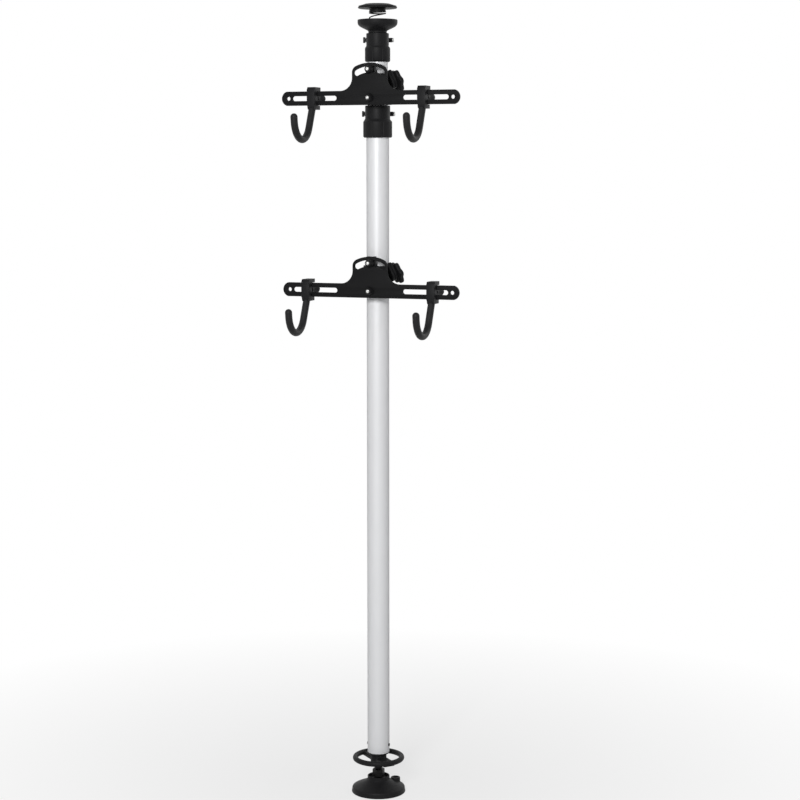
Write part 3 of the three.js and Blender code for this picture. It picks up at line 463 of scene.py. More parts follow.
def hexagon(name, corner, low, high, lean=0.8 * mm):
    """A hexagon with its corners turned off above and below."""
    bar = placed(rod(name, corner, low, high, 6), about_z(30))
    flat = corner * 0.955
    outline = [(0, low), (flat, low), (corner, low + lean), (corner, high - lean), (flat, high), (0, high)]
    return combined(bar, "INTERSECT", turned("rounding", outline, 64))


screw_low, screw_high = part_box("jack_screw")
lock_low, lock_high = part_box("jack_lock_nut")
ball_radius = ball_centre.z - screw_low.z
hexagon_corner = screw_high.y
hexagon_low = lock_low.z - 7.4 * mm
rod_radius = 6 * mm
root_radius = rod_radius - 0.9 * mm
rod_low = lock_low.z - 2 * mm
neck_radius = 5 * mm
neck_top = hexagon_low + 1 * mm
ball_and_neck = [(0, screw_low.z)]
ball_and_neck += [(r, z + ball_centre.z) for r, z in arc((0, 0), ball_radius, -80, 48, 12)]
ball_and_neck += [(neck_radius, ball_centre.z + 7 * mm), (neck_radius, neck_top), (0, neck_top)]
rod_outline = [(0, rod_low), (root_radius, rod_low), (root_radius, screw_high.z - 1 * mm)]
rod_outline += [(root_radius - 1 * mm, screw_high.z), (0, screw_high.z)]
jack = united(
    "jack_rod",
    turned("jack_ball", ball_and_neck, 48),
    eased(hexagon("jack_hexagon", hexagon_corner, hexagon_low, lock_low.z - 0.3 * mm), 0.3 * mm),
    turned("jack_core", rod_outline, 48),
    wound("jack_thread", rod_radius - 0.95 * mm, 3 * mm, 32.0, lock_low.z + 2 * mm, 0.95 * mm),
)
fitted(jack, black_oxide, "jack_screw", "dark_steel", "jack_screw")
lock_nut = hexagon("lock_nut", lock_high.y, lock_low.z, lock_high.z)
eased(cut(lock_nut, rod("nut_bore", rod_radius + 0.2 * mm, 0, 90 * mm)), 0.3 * mm)
fitted(lock_nut, black_oxide, "jack_screw", "dark_steel", "jack_lock_nut")


# Hand wheel
# Moulded in one piece from black nylon: a thick round rim, one wide two-armed spoke that dips to the hub,
# and a hub that takes the jack's thread. Every corner runs out in a soft fillet.
wheel_low, wheel_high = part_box("hand_wheel")
rim_section = 5.5 * mm
rim_centre = wheel_high.x - rim_section
rim_height = wheel_high.z - 7.7 * mm
hub_radius = 16.4 * mm
hub_low = wheel_high.z - 19 * mm
nose_radius = 8 * mm
rim_outline = arc((rim_centre, rim_height), rim_section, 0, 360, 20)[:-1]
hub_outline = [
    (0, wheel_low.z),
    (nose_radius, wheel_low.z),
    (nose_radius, hub_low - 1 * mm),
    (nose_radius + 1 * mm, hub_low),
    (hub_radius - 1.5 * mm, hub_low),
    (hub_radius, hub_low + 1.5 * mm),
    (hub_radius, wheel_high.z),
    (0, wheel_high.z),
]


def block(name, low, high):
    """A box from its lowest corner to its highest."""
    shape = bmesh.new()
    bmesh.ops.create_cube(shape, size=1)
    low, high = Vector(low), Vector(high)
    spread = Matrix.Diagonal((*(high - low), 1))
    bmesh.ops.transform(shape, matrix=Matrix.Translation((low + high) / 2) @ spread, verts=shape.verts)
    return solid(name, shape)


spoke_half = 12 * mm
spoke = block(
    "spoke",
    (-rim_centre, -spoke_half, rim_height - 7 * mm),
    (rim_centre, spoke_half, rim_height + 2 * mm),
)
wheel = united(
    "hand_wheel_moulding",
    turned("rim", rim_outline, 128),
    placed(spoke, about_z(137)),
    turned("hub", hub_outline, 64),
)
fusing = wheel.modifiers.new("fusing", "REMESH")
fusing.mode = "VOXEL"
fusing.voxel_size = 0.9 * mm
softening = wheel.modifiers.new("softening", "SMOOTH")
softening.factor = 0.5
softening.iterations = 5
flattened(wheel)
eased(cut(wheel, rod("wheel_bore", rod_radius + 0.3 * mm, 0, 120 * mm)), 0)
fitted(wheel, black_moulding, "hand_wheel", "black_plastic", "hand_wheel")


# Lower tube with its end plug, plug screws and thrust washer
# Extruded aluminium, sawn, deburred and satin anodised. A black plug closes its lower end, held by two small
# black screws, and a zinc-plated washer runs between it and the wheel.
def anodised(name):
    """Satin anodising on an extruded tube: faint lengthwise draw lines and a cloudy sheen."""
    finish = Finish(name, 0.36, metallic=0.17)
    finish.shader.inputs["Specular Tint"].default_value = (0.15, 0.15, 0.16, 1)
    lines = finish.noise(260, 3, finish.stretched((1, 1, 0.012)))
    cloud = finish.noise(9, 3)
    finish.color(cloud * 0.5 + lines * 0.3, (0.72, 0.725, 0.74), (0.82, 0.825, 0.835))
    finish.rough(0.38 + lines * 0.08 + cloud * 0.06)
    finish.bump(lines, 0.12, 0.00004)
    return finish.material


satin_aluminium = anodised("satin_aluminium")


def bright_plated(name):
    """Bright zinc plate: mirror-like with a faint milky bloom."""
    finish = Finish(name, 0.2, metallic=1.0)
    bloom = finish.noise(170, 4)
    finish.color(bloom, (0.40, 0.40, 0.39), (0.56, 0.56, 0.55))
    finish.rough(0.24 + bloom * 0.14)
    return finish.material


bright_zinc = bright_plated("bright_zinc")


def tube(name, node, wall):
    """A tube as long and wide as its plain solid, its outer edges chamfered."""
    low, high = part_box(node)
    outer = high.x
    inner = outer - wall
    chamfer = 0.4 * mm
    outline = [
        (inner, low.z),
        (outer - chamfer, low.z),
        (outer, low.z + chamfer),
        (outer, high.z - chamfer),
        (outer - chamfer, high.z),
        (inner, high.z),
    ]
    return turned(name, outline, 128)


lower_low, lower_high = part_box("lower_tube")
rivet_low, rivet_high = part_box("plug_screw_right")
rivet_height = (rivet_low.z + rivet_high.z) / 2
lower_tube = tube("lower_tube_extrusion", "lower_tube", 1.6 * mm)
cross_hole = rod("cross_hole", 2.3 * mm, -40 * mm, 40 * mm, 24)
cut(lower_tube, placed(cross_hole, facing((1, 0, 0), (0, 0, rivet_height))))
eased(lower_tube, 0)
fitted(lower_tube, satin_aluminium, "pole", "anodised_aluminium", "lower_tube")

plug_low, plug_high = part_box("tube_end_plug")
plug_bore = rod_radius + 0.3 * mm
plug_radius = lower_high.x - 1.95 * mm
plug_flange = plug_low.z + 2.5 * mm
plug_outline = [
    (plug_bore, plug_low.z),
    (plug_high.x - 0.6 * mm, plug_low.z),
    (plug_high.x, plug_low.z + 0.6 * mm),
    (plug_high.x, plug_flange),
    (plug_radius, plug_flange),
    (plug_radius, plug_high.z),
    (plug_bore, plug_high.z),
]
lathed("end_plug", plug_outline, 96, black_moulding, "pole", "black_plastic", "tube_end_plug")

washer_low, washer_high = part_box("thrust_washer")
washer_bore = rod_radius + 0.4 * mm
washer_outline = [
    (washer_bore, washer_low.z),
    (washer_high.x - 0.2 * mm, washer_low.z),
    (washer_high.x, washer_low.z + 0.3 * mm),
    (washer_high.x, washer_high.z - 0.3 * mm),
    (washer_high.x - 0.2 * mm, washer_high.z),
    (washer_bore, washer_high.z),
]
lathed("thrust_washer_disc", washer_outline, 96, bright_zinc, "pole", "bright_steel", "thrust_washer")


def screw(name, shank, head, tip, seat, top, socket):
    """A domed screw along +Z with a hexagon socket in its head."""
    rise = top - seat
    outline = [(0, tip), (shank, tip), (shank, seat), (head - 0.1 * mm, seat), (head, seat + 0.3 * rise)]
    outline += [(head * math.cos(a), seat + rise * (0.3 + 0.7 * math.sin(a))) for a in (0.5, 0.9, 1.2)]
    outline += [(0, top)]
    key_hole = rod("socket", socket, top - 1.6 * mm, top + 1 * mm, 6)
    return eased(cut(turned(name, outline, 40), key_hole), 0.12 * mm)


for side, axis in (("right", 1), ("left", -1)):
    reach = rivet_high.x
    plug_screw = screw(
        f"plug_screw_{side}_turned", 2 * mm, 3.6 * mm, 15 * mm, reach - 1.6 * mm, reach, 1.2 * mm
    )
    placed(plug_screw, facing((axis, 0, 0), (0, 0, rivet_height)))
    fitted(plug_screw, black_oxide, "pole", "dark_steel", f"plug_screw_{side}")


# Clamp collars with their pinch screws
# Each is moulded in black nylon. The skirt is fixed on the wider tube, a slot frees the ring above it, and a
# pinch screw across the slit behind the pole draws the ring tight on the thinner tube.
collar_turn = about_z(20)


def prism(name, outline, low, high):
    """A flat outline in X and Y, raised from one height to another."""
    shape = bmesh.new()
    floor = [shape.verts.new((x, y, low)) for x, y in outline]
    roof = [shape.verts.new((x, y, high)) for x, y in outline]
    shape.faces.new(floor)
    shape.faces.new(roof)
    for i in range(len(outline)):
        j = (i + 1) % len(outline)
        shape.faces.new((floor[i], floor[j], roof[j], roof[i]))
    return solid(name, shape)


def collar(name, body, outer_tube, inner_tube, skirt, ring, shares, barrel, left, right):
    """A collar of two radii. Its shares place the skirt's top, the ring's start and the pinch screw."""
    low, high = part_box(name)
    height = high.z - low.z
    skirt_top, taper_top, bolt_height = (low.z + height * share for share in shares)
    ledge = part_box(outer_tube)[1].z + 0.3 * mm
    running_gap = 0.25 * mm
    outer_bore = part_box(outer_tube)[1].x + running_gap
    inner_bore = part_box(inner_tube)[1].x + running_gap
    bolt_back = inner_bore + 1.5 * mm + barrel
    across = facing((1, 0, 0), Vector((0, bolt_back, bolt_height)))
    outline = [
        (0, low.z),
        (skirt - 2 * mm, low.z),
        (skirt - 0.5 * mm, low.z + 1.4 * mm),
        (skirt, low.z + 2.6 * mm),
        (skirt, skirt_top),
        (ring + 0.7 * mm, taper_top - 0.8 * mm),
        (ring, taper_top + 0.6 * mm),
        (ring, high.z - 0.8 * mm),
        (ring - 0.8 * mm, high.z),
        (0, high.z),
    ]
    piece = turned(f"{name}_moulding", outline, 96)
    lug = [(0, left), (barrel - 0.5 * mm, left), (barrel, left + 0.5 * mm), (barrel, right - 0.5 * mm)]
    lug += [(barrel - 0.5 * mm, right), (0, right)]
    joined(piece, placed(turned("lug", lug, 40), across))
    bore = [
        (0, low.z - 5 * mm), (outer_bore, low.z - 5 * mm), (outer_bore, ledge),
        (inner_bore, ledge), (inner_bore, high.z + 5 * mm), (0, high.z + 5 * mm),
    ]
    slot_low = skirt_top + (taper_top - skirt_top) / 2
    slot_width = 3.4 * mm
    slit_half = 1.5 * mm
    relief = [(0, 0)] + arc((0, 0), skirt + 5 * mm, -14, 150, 24)
    slit = block("slit", (-slit_half, 0, slot_low), (slit_half, bolt_back + 12 * mm, high.z + 4 * mm))
    eye = (3.3 * mm, -60 * mm, 60 * mm, 32)
    flute_radius = 1.6 * mm
    flute_low = low.z - 4 * mm
    flute = [(0, flute_low), (flute_radius, flute_low), (flute_radius, skirt_top - 1 * mm), (0, skirt_top)]
    flutes = []
    for i in range(8):
        where = about_z((i + 0.5) * 45) @ Matrix.Translation((skirt + 0.9 * mm, 0, 0))
        flutes.append(placed(turned("flute", flute, 20), where))
    cut(
        piece,
        turned("bore", bore, 96),
        slit,
        prism("relief", relief, slot_low, slot_low + slot_width),
        placed(rod("eye", *eye), across),
        *flutes,
    )
    eased(placed(piece, collar_turn), 0.3 * mm)
    fitted(piece, black_moulding, body, "black_plastic", name)

    nut_end = left - 4.9 * mm
    pinch = screw(f"{name}_pinch", 3 * mm, barrel, nut_end, right + 0.3 * mm, right + 4.1 * mm, 2.4 * mm)
    placed(pinch, collar_turn @ across)
    fitted(pinch, bright_zinc, f"{name}_screw", "bright_steel", f"{name}_screw")
    nut = hexagon(f"{name}_hexagon", 5.75 * mm, nut_end, left - 0.3 * mm, 0.5 * mm)
    eased(placed(cut(nut, rod("nut_bore", *eye)), collar_turn @ across), 0.2 * mm)
    fitted(nut, black_oxide, body, "dark_steel", f"{name}_nut")


collar(
    "lower_collar", "pole", "lower_tube", "middle_tube",
    28.7 * mm, 24.85 * mm, (0.493, 0.585, 0.754), 4.6 * mm, -26.3 * mm, 31.6 * mm,
)
collar(
    "upper_collar", "middle_section", "middle_tube", "upper_tube",
    24.95 * mm, 22.3 * mm, (0.483, 0.551, 0.793), 4.5 * mm, -23.75 * mm, 29.1 * mm,
)


# Middle and upper tubes with their glides
# The same satin extrusion in two smaller sizes. A grey nylon glide is pressed into each lower end and runs
# inside the wider tube.
wall = 1.5 * mm
glide_flange = 6 * mm
for name, body in (("middle_tube", "middle_section"), ("upper_tube", "upper_section")):
    inner_tube = eased(tube(f"{name}_extrusion", name, wall), 0)
    fitted(inner_tube, satin_aluminium, body, "anodised_aluminium", name)
    glide_low, glide_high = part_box(f"{name}_glide")
    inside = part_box(name)[1].x - wall - 0.3 * mm
    glide_bore = inside - 4 * mm
    glide_outline = [
        (glide_bore, glide_low.z),
        (glide_high.x - 1 * mm, glide_low.z),
        (glide_high.x, glide_low.z + 1 * mm),
        (glide_high.x, glide_low.z + glide_flange),
        (inside, glide_low.z + glide_flange),
        (inside, glide_high.z),
        (glide_bore, glide_high.z),
    ]
    lathed(f"{name}_runner", glide_outline, 96, grey_nylon, body, "natural_nylon", f"{name}_glide")


# Ceiling cup, spring and pad
# A black moulded cup plugs into the upper tube. A stiff black spring stands in it and pushes a moulded disc
# with a rubber face against the ceiling.
cup_low, cup_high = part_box("ceiling_cup")
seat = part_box("upper_tube")[1].z + 0.3 * mm
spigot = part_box("upper_tube")[1].x - 1.8 * mm
cup_radius = cup_high.x
cup_bore = cup_radius - 2.6 * mm
wall_low = seat + 18.8 * mm
rim_top = cup_high.z - 0.3 * mm
skirt = [(17.6, 0), (17.6, -0.9), (18, -0.9), (18.2, -0.6), (18.3, 2.4), (19.6, 4.2)]
bowl = [(23.6, 6.2), (30, 9.2), (35.4, 12.1), (38.3, 15.3)]
hollow = [(35.6, 16.6), (32.8, 14.6), (25.2, 9.3), (0, 9.3)]
cup_outline = [(0, seat + 6.7 * mm), (spigot - 3.5 * mm, seat + 6.7 * mm), (spigot - 3.5 * mm, cup_low.z)]
cup_outline += [(spigot - 0.6 * mm, cup_low.z), (spigot, cup_low.z + 1.5 * mm), (spigot, seat)]
cup_outline += [(radius * mm, seat + rise * mm) for radius, rise in skirt + bowl]
cup_outline += [(cup_radius, wall_low), (cup_radius, rim_top - 0.8 * mm), (cup_radius - 0.7 * mm, rim_top)]
cup_outline += [(cup_radius - 1.9 * mm, rim_top), (cup_bore, rim_top - 0.8 * mm), (cup_bore, wall_low)]
cup_outline += [(radius * mm, seat + rise * mm) for radius, rise in hollow]
lathed("cup_moulding", cup_outline, 128, black_moulding, "upper_section", "black_plastic", "ceiling_cup")

spring_low, spring_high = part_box("ceiling_spring")
wire = 1.2 * mm
coil = 15.9 * mm
end_turns = 0.75
active_turns = 1.4
end_rise = 1.0 * mm
steps_a_turn = 40
spring_length = spring_high.z - spring_low.z
active_rise = spring_length - 2 * wire - 2 * end_turns * end_rise
total_turns = 2 * end_turns + active_turns
first_angle = math.radians(20) - (end_turns + active_turns) * 2 * math.pi
wire_points = []
for i in range(round(total_turns * steps_a_turn) + 1):
    turn = i / steps_a_turn
    active = min(max(turn - end_turns, 0), active_turns)
    height = spring_low.z + wire + (turn - active) * end_rise + active * active_rise / active_turns
    angle = first_angle + turn * 2 * math.pi
    wire_points.append((coil * math.cos(angle), coil * math.sin(angle), height))


def from_curve(name, lines, closed, merge, **settings):
    """What a curve with these lines of points and settings makes, points closer than merge made one."""
    data = bpy.data.curves.new(name, "CURVE")
    for key, value in settings.items():
        setattr(data, key, value)
    for points in lines:
        line = data.splines.new("POLY")
        line.points.add(len(points) - 1)
        line.use_cyclic_u = closed
        for place, point in zip(line.points, points):
            place.co = (*point, 1)
    source = linked(name, data)
    seen = bpy.context.evaluated_depsgraph_get()
    shape = bmesh.new()
    shape.from_mesh(bpy.data.meshes.new_from_object(source.evaluated_get(seen)))
    bpy.data.objects.remove(source)
    bmesh.ops.remove_doubles(shape, verts=shape.verts, dist=merge)
    return solid(name, shape)


def swept(name, points, radius, rings=6):
    """A round bar along a line of points, with flat closed ends."""
    piece = from_curve(
        name, [points], False, 0.01 * mm,
        dimensions="3D", bevel_depth=radius, bevel_resolution=rings, use_fill_caps=True,
    )
    return smoothed(piece, 50)


spring = swept("spring_wire", wire_points, wire)
fitted(spring, black_oxide, "upper_section", "dark_steel", "ceiling_spring")
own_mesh(spring)

disc_low, disc_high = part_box("ceiling_pad")
disc_bottom = disc_high.z - 2.9 * mm
disc_radius = disc_high.x
boss_bore = 11.6 * mm
bore_top = disc_low.z + 4.8 * mm
bead_radius = 16.8 * mm
disc_outline = [
    (0, bore_top), (boss_bore, bore_top), (boss_bore, disc_low.z), (bead_radius - 0.4 * mm, disc_low.z),
    (bead_radius, disc_low.z + 0.5 * mm), (bead_radius, disc_low.z + 2.2 * mm),
    (16 * mm, disc_low.z + 2.8 * mm), (16 * mm, disc_bottom - 1.5 * mm), (16.9 * mm, disc_bottom - 0.4 * mm),
    (18.4 * mm, disc_bottom), (disc_radius - 1.2 * mm, disc_bottom),
    (disc_radius - 0.3 * mm, disc_bottom + 0.6 * mm), (disc_radius, disc_bottom + 1.5 * mm),
    (disc_radius - 0.3 * mm, disc_bottom + 2.4 * mm), (disc_radius - 1 * mm, disc_high.z), (0, disc_high.z),
]
lathed("pad_moulding", disc_outline, 128, black_moulding, "ceiling_pad", "black_plastic", "ceiling_pad")

face_low, face_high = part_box("ceiling_pad_rubber")
groove_floor = face_high.z - 0.6 * mm
face_outline = [(0, face_low.z), (face_high.x - 0.4 * mm, face_low.z), (face_high.x, face_low.z + 0.4 * mm)]
face_outline += [(face_high.x, face_low.z + 1.4 * mm), (26.7 * mm, face_high.z - 0.7 * mm)]
face_outline += [(25.2 * mm, face_high.z)]
for step in range(3):
    end = (22.4 - 6 * step) * mm
    face_outline += [(end, face_high.z), (end - 0.4 * mm, groove_floor)]
    face_outline += [(end - 1.2 * mm, groove_floor), (end - 1.6 * mm, face_high.z)]
face_outline += [(0, face_high.z)]
lathed("pad_face", face_outline, 96, pad_rubber, "ceiling_pad", "black_rubber", "ceiling_pad_rubber")


# Bike mount clamps
# A split ring of black nylon grips the tube through a grey nylon sleeve. Two ears stand at the slit, and a
# carriage bolt through them is drawn up by a large lobed knob. A web in front carries the arm.
azimuth, rise = math.radians(46.8), math.radians(20)
knob_axis = Vector((math.cos(rise) * math.cos(azimuth), math.cos(rise) * math.sin(azimuth), math.sin(rise)))
knob_side = Vector((-math.sin(azimuth), math.cos(azimuth), 0))
knob_frame = Matrix((knob_side, knob_axis.cross(knob_side), knob_axis)).transposed().to_4x4()
knob_frame.translation = (28.7 * mm, -8.7 * mm, 28.6 * mm)
ring_inner = 24.3 * mm
ring_outer = 28.9 * mm
ring_low = -12.2 * mm
ring_high = 48.5 * mm
web_front = 41.5 * mm
web_half = 8.95 * mm
web_low = -9.7 * mm
web_high = 67.8 * mm
web_shelf = -33.6 * mm


def lobed(name, rings, lobes, sides):
    """A grip with round lobes. Its rings are in mm: a radius, a lobe height and a place along the axis."""
    shape = bmesh.new()
    loops = []
    for radius, lobe, height in rings:
        loop = []
        for i in range(sides):
            angle = 2 * math.pi * i / sides
            reach = (radius + lobe * math.cos(lobes * angle)) * mm
            loop.append(shape.verts.new((reach * math.cos(angle), reach * math.sin(angle), height * mm)))
        loops.append(loop)
    for low, high in zip(loops, loops[1:]):
        for i in range(sides):
            j = (i + 1) % sides
            shape.faces.new((low[i], low[j], high[j], high[i]))
    shape.faces.new(list(reversed(loops[0])))
    shape.faces.new(loops[-1])
    return solid(name, shape)


def mount_clamp(mount, pivot, tube_radius):
    """A mount's sleeve, clamp, bolt and knob, at the height of its pivot."""
    lift = Matrix.Translation((0, 0, pivot))
    bolt_place = lift @ knob_frame
    sleeve_low, sleeve_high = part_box(f"{mount}_clamp_liner")
    sleeve_bore = tube_radius + 0.3 * mm
    sleeve_outer = ring_inner - 0.3 * mm
    sleeve_outline = [
        (sleeve_bore, sleeve_low.z), (sleeve_outer, sleeve_low.z), (sleeve_outer, sleeve_high.z),
        (sleeve_bore, sleeve_high.z),
    ]
    sleeve = turned(f"{mount}_sleeve", sleeve_outline)
    gap_half = 1.2 * mm
    gap = block("gap", (0, -gap_half, sleeve_low.z - 4 * mm), (30 * mm, gap_half, sleeve_high.z + 4 * mm))
    eased(cut(sleeve, placed(gap, about_z(120))), 0)
    fitted(sleeve, grey_nylon, f"{mount}_mount_liner", "natural_nylon", f"{mount}_clamp_liner")

    ring_outline = [
        (0, ring_low), (ring_outer - 0.6 * mm, ring_low), (ring_outer, ring_low + 0.6 * mm),
        (ring_outer, ring_high - 0.8 * mm), (ring_outer - 0.8 * mm, ring_high), (0, ring_high),
    ]
    ring = turned(f"{mount}_clamp_moulding", ring_outline)
    web_outline = [
        (-web_front, web_low), (-ring_inner, web_low), (-ring_inner, 42.6 * mm), (web_shelf, 60 * mm),
        (web_shelf, web_high), (-web_front, web_high),
    ]
    web = prism("web", web_outline, -web_half, web_half)
    upright = Matrix(((0, 0, 1, 0), (1, 0, 0, 0), (0, 1, 0, 0), (0, 0, 0, 1)))
    ear, ear_top, ear_rise = 12.6 * mm, 7.7 * mm, 17.4 * mm
    lean = math.degrees(math.asin((ear - ear_top) / ear_rise))
    ear_outline = arc((0, 0), ear, 180 - lean, 360 + lean, 24)
    ear_outline += arc((0, ear_rise), ear_top, lean, 180 - lean, 12)
    ears = placed(prism("ears", ear_outline, 0, 10 * mm), knob_frame)
    joined(ring, placed(web, upright), ears)
    slant = block("slant", (-30 * mm, -30 * mm, 4.3 * mm), (22 * mm, 30 * mm, 5.7 * mm))
    split = block("split", (20.3 * mm, -0.7 * mm, -17 * mm), (33.5 * mm, 0.7 * mm, 20.8 * mm))
    cut(
        ring,
        rod("bore", ring_inner, -17 * mm, 75 * mm, 96),
        placed(slant, knob_frame),
        placed(split, about_z(11.5)),
        placed(rod("relief", 24.2 * mm, 10 * mm, 60 * mm, 64), knob_frame),
        placed(rod("eye", 4.3 * mm, -4 * mm, 14 * mm, 32), knob_frame),
        placed(rod("recess", 7.2 * mm, -4 * mm, 3.2 * mm, 40), knob_frame),
    )
    eased(placed(ring, lift), 0.5 * mm)
    fitted(ring, black_moulding, f"{mount}_mount", "black_plastic", f"{mount}_clamp_body")

    neck = 2.9 * mm
    thread = 3.9 * mm
    bolt_end = 18 * mm
    head = [(0, 0.5 * mm), (2.6 * mm, 0.7 * mm), (4.6 * mm, 1.3 * mm), (5.8 * mm, 2.1 * mm), (6 * mm, neck)]
    shank = [(thread, neck), (thread, bolt_end - 0.7 * mm), (thread - 0.7 * mm, bolt_end), (0, bolt_end)]
    bolt = eased(turned(f"{mount}_carriage_bolt", head + shank, 40), 0)
    placed(bolt, bolt_place)
    fitted(bolt, black_oxide, f"{mount}_clamp_bolt", "dark_steel", f"{mount}_clamp_bolt")

    lobe, outer, collar_radius, underside = 2, 21.1, 8.6, 12.5
    rings = [
        (collar_radius, 0, 10.4), (collar_radius, 0, 12.1), (14, 0, underside),
        (outer - 2.2, lobe, underside), (outer - 0.8, lobe, 13), (outer, lobe, 14.2),
        (outer, lobe, 18.9), (outer - 0.6, lobe, 20.1), (outer - 2, lobe, 20.9),
        (outer - 4.6, lobe * 0.7, 21.1), (13, 0.3, 20.7), (11, 0, 19.7), (4, 0, 19.7),
    ]
    knob = lobed(f"{mount}_lobed_knob", rings, 6, 96)
    cut(knob, rod("bore", 4.25 * mm, 8 * mm, 18.3 * mm, 32))
    eased(placed(knob, bolt_place), 0)
    fitted(knob, black_moulding, f"{mount}_clamp_knob", "black_plastic", f"{mount}_clamp_knob")


pivots = {}
for mount, carrier in (("lower", "lower_tube"), ("upper", "middle_tube")):
    plate_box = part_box(f"{mount}_arm_plate")
    pivots[mount] = plate_box[0].z + 13.9 * mm
    mount_clamp(mount, pivots[mount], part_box(carrier)[1].x)


# Arm plates
# Each is laser-cut from 6 mm steel plate and powder-coated matt black: two slotted arms, and a dome with an
# arc slot that lets the plate tilt.
def powder_coated(name):
    """Matt black powder coat: a fine orange peel and slight clouding."""
    finish = Finish(name, 0.52, specular=0.06)
    peel = finish.noise(420, 2)
    cloud = finish.noise(11, 3)
    finish.color(cloud, (0.0065, 0.0065, 0.007), (0.0125, 0.0125, 0.013))
    finish.rough(0.47 + peel * 0.12)
    finish.bump(peel, 0.3, 0.00016)
    return finish.material


black_powder = powder_coated("black_powder")
plate_low, plate_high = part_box("upper_arm_plate")
arm_reach = plate_high.x
arm_half = 13.9 * mm
end_radius = 14.5 * mm
dome_radius = 67.8 * mm
dome_half = 36.3 * mm
shoulder = 13.6 * mm
fillet = 25.2 * mm
slot_half = 4.85 * mm
slot_near = 73.75 * mm
slot_far = 158.05 * mm
tilt_rise = 55.1 * mm
arc_half = 6 * mm


def outline_of_plate():
    """The plate's edge: the two arms, their fillets and shoulders, and the dome."""
    end_lean = math.degrees(math.asin(arm_half / end_radius))
    shoulder_x = dome_half - shoulder
    shoulder_z = math.sqrt((dome_radius - shoulder) ** 2 - shoulder_x ** 2)
    lean = math.degrees(math.atan2(shoulder_z, shoulder_x))
    right = arc((arm_reach - end_radius, 0), end_radius, -end_lean, end_lean, 24)
    right += arc((dome_half + fillet, arm_half + fillet), fillet, 270, 180, 20)
    right += arc((shoulder_x, shoulder_z), shoulder, 0, lean, 10)
    dome = arc((0, 0), dome_radius, lean, 180 - lean, 24)
    left = [(-x, z) for x, z in reversed(right)]
    return right + dome[1:-1] + left


def slot_outline(side):
    """The long slot of one arm, on side 1 or -1."""
    near = arc((side * slot_near, 0), slot_half, side * 90, side * 90 + 180, 16)
    far = arc((side * slot_far, 0), slot_half, -side * 90, -side * 90 + 180, 16)
    return near + far


def arc_slot_outline():
    """The dome's arc slot. Its reach to each side is in degrees."""
    reach = 28.3
    outer = arc((0, 0), tilt_rise + arc_half, 90 - reach, 90 + reach, 24)
    inner = arc((0, 0), tilt_rise - arc_half, 90 + reach, 90 - reach, 24)
    left_centre = (-tilt_rise * math.sin(math.radians(reach)), tilt_rise * math.cos(math.radians(reach)))
    right_centre = (-left_centre[0], left_centre[1])
    left_end = arc(left_centre, arc_half, 90 + reach, 270 + reach, 12)
    right_end = arc(right_centre, arc_half, 270 - reach, 450 - reach, 12)
    return outer + left_end[1:-1] + inner + right_end[1:-1]


def plate_sheet(name, outlines, front, back):
    """A flat plate with holes, its outlines in X and Z, with softened edges."""
    soft = 0.45 * mm
    lines = [[(x, z, 0) for x, z in outline] for outline in outlines]
    piece = from_curve(
        name, lines, True, 0.005 * mm,
        dimensions="2D", fill_mode="BOTH", extrude=(back - front) / 2 - soft,
        bevel_depth=soft, bevel_resolution=2, offset=-soft,
    )
    upright = Matrix(((1, 0, 0, 0), (0, 0, -1, (front + back) / 2), (0, 1, 0, 0), (0, 0, 0, 1)))
    return placed(piece, upright)


plate_outlines = [outline_of_plate(), slot_outline(1), slot_outline(-1), arc_slot_outline()]
plate_outlines += [arc((side * (arm_reach - 14 * mm), 0), 4.1 * mm, 0, 345, 23) for side in (1, -1)]
plate_outlines += [arc((0, 0), 5.8 * mm, 0, 350, 35)]
for mount in ("lower", "upper"):
    plate = plate_sheet(f"{mount}_arm_sheet", plate_outlines, plate_low.y, plate_high.y)
    placed(plate, Matrix.Translation((0, 0, pivots[mount])))
    eased(plate, 0)
    fitted(plate, black_powder, f"{mount}_arm", "black_metal", f"{mount}_arm_plate")


# Pivot and tilt bushes with their screws
# Black shouldered bushes carry the plate at its pivot and in the arc slot. A domed, zinc-plated socket screw
# holds each one to the clamp.
bush_bore = 3.3 * mm
bush_radius = 5.5 * mm
bush_back = 0.3 * mm
bush_front = 17.4 * mm
flange_back = 6.6 * mm
bush_outline = [
    (bush_bore, bush_back),
    (bush_radius, bush_back),
    (bush_radius, flange_back),
    (8.6 * mm, flange_back),
    (9 * mm, 7.2 * mm),
    (8.6 * mm, 8.2 * mm),
    (6.6 * mm, 15.4 * mm),
    (6.1 * mm, 16.9 * mm),
    (5.5 * mm, bush_front),
    (bush_bore, bush_front),
]
for mount in ("lower", "upper"):
    for place, rise in (("pivot", 0), ("tilt", tilt_rise)):
        start = facing((0, -1, 0), (0, -web_front, pivots[mount] + rise))
        bush = eased(placed(turned(f"{mount}_{place}_shoulder", bush_outline, 64), start), 0)
        fitted(bush, black_moulding, f"{mount}_mount", "black_plastic", f"{mount}_{place}_bush")
        screw_name = f"{mount}_{place}_socket_screw"
        holder = screw(screw_name, 3 * mm, 3.8 * mm, -8.6 * mm, bush_front + 0.3 * mm, 20.8 * mm, 1.7 * mm)
        placed(holder, start)
        body = f"{mount}_tilt_screw" if place == "tilt" else f"{mount}_mount"
        fitted(holder, bright_zinc, body, "bright_steel", f"{mount}_{place}_screw")


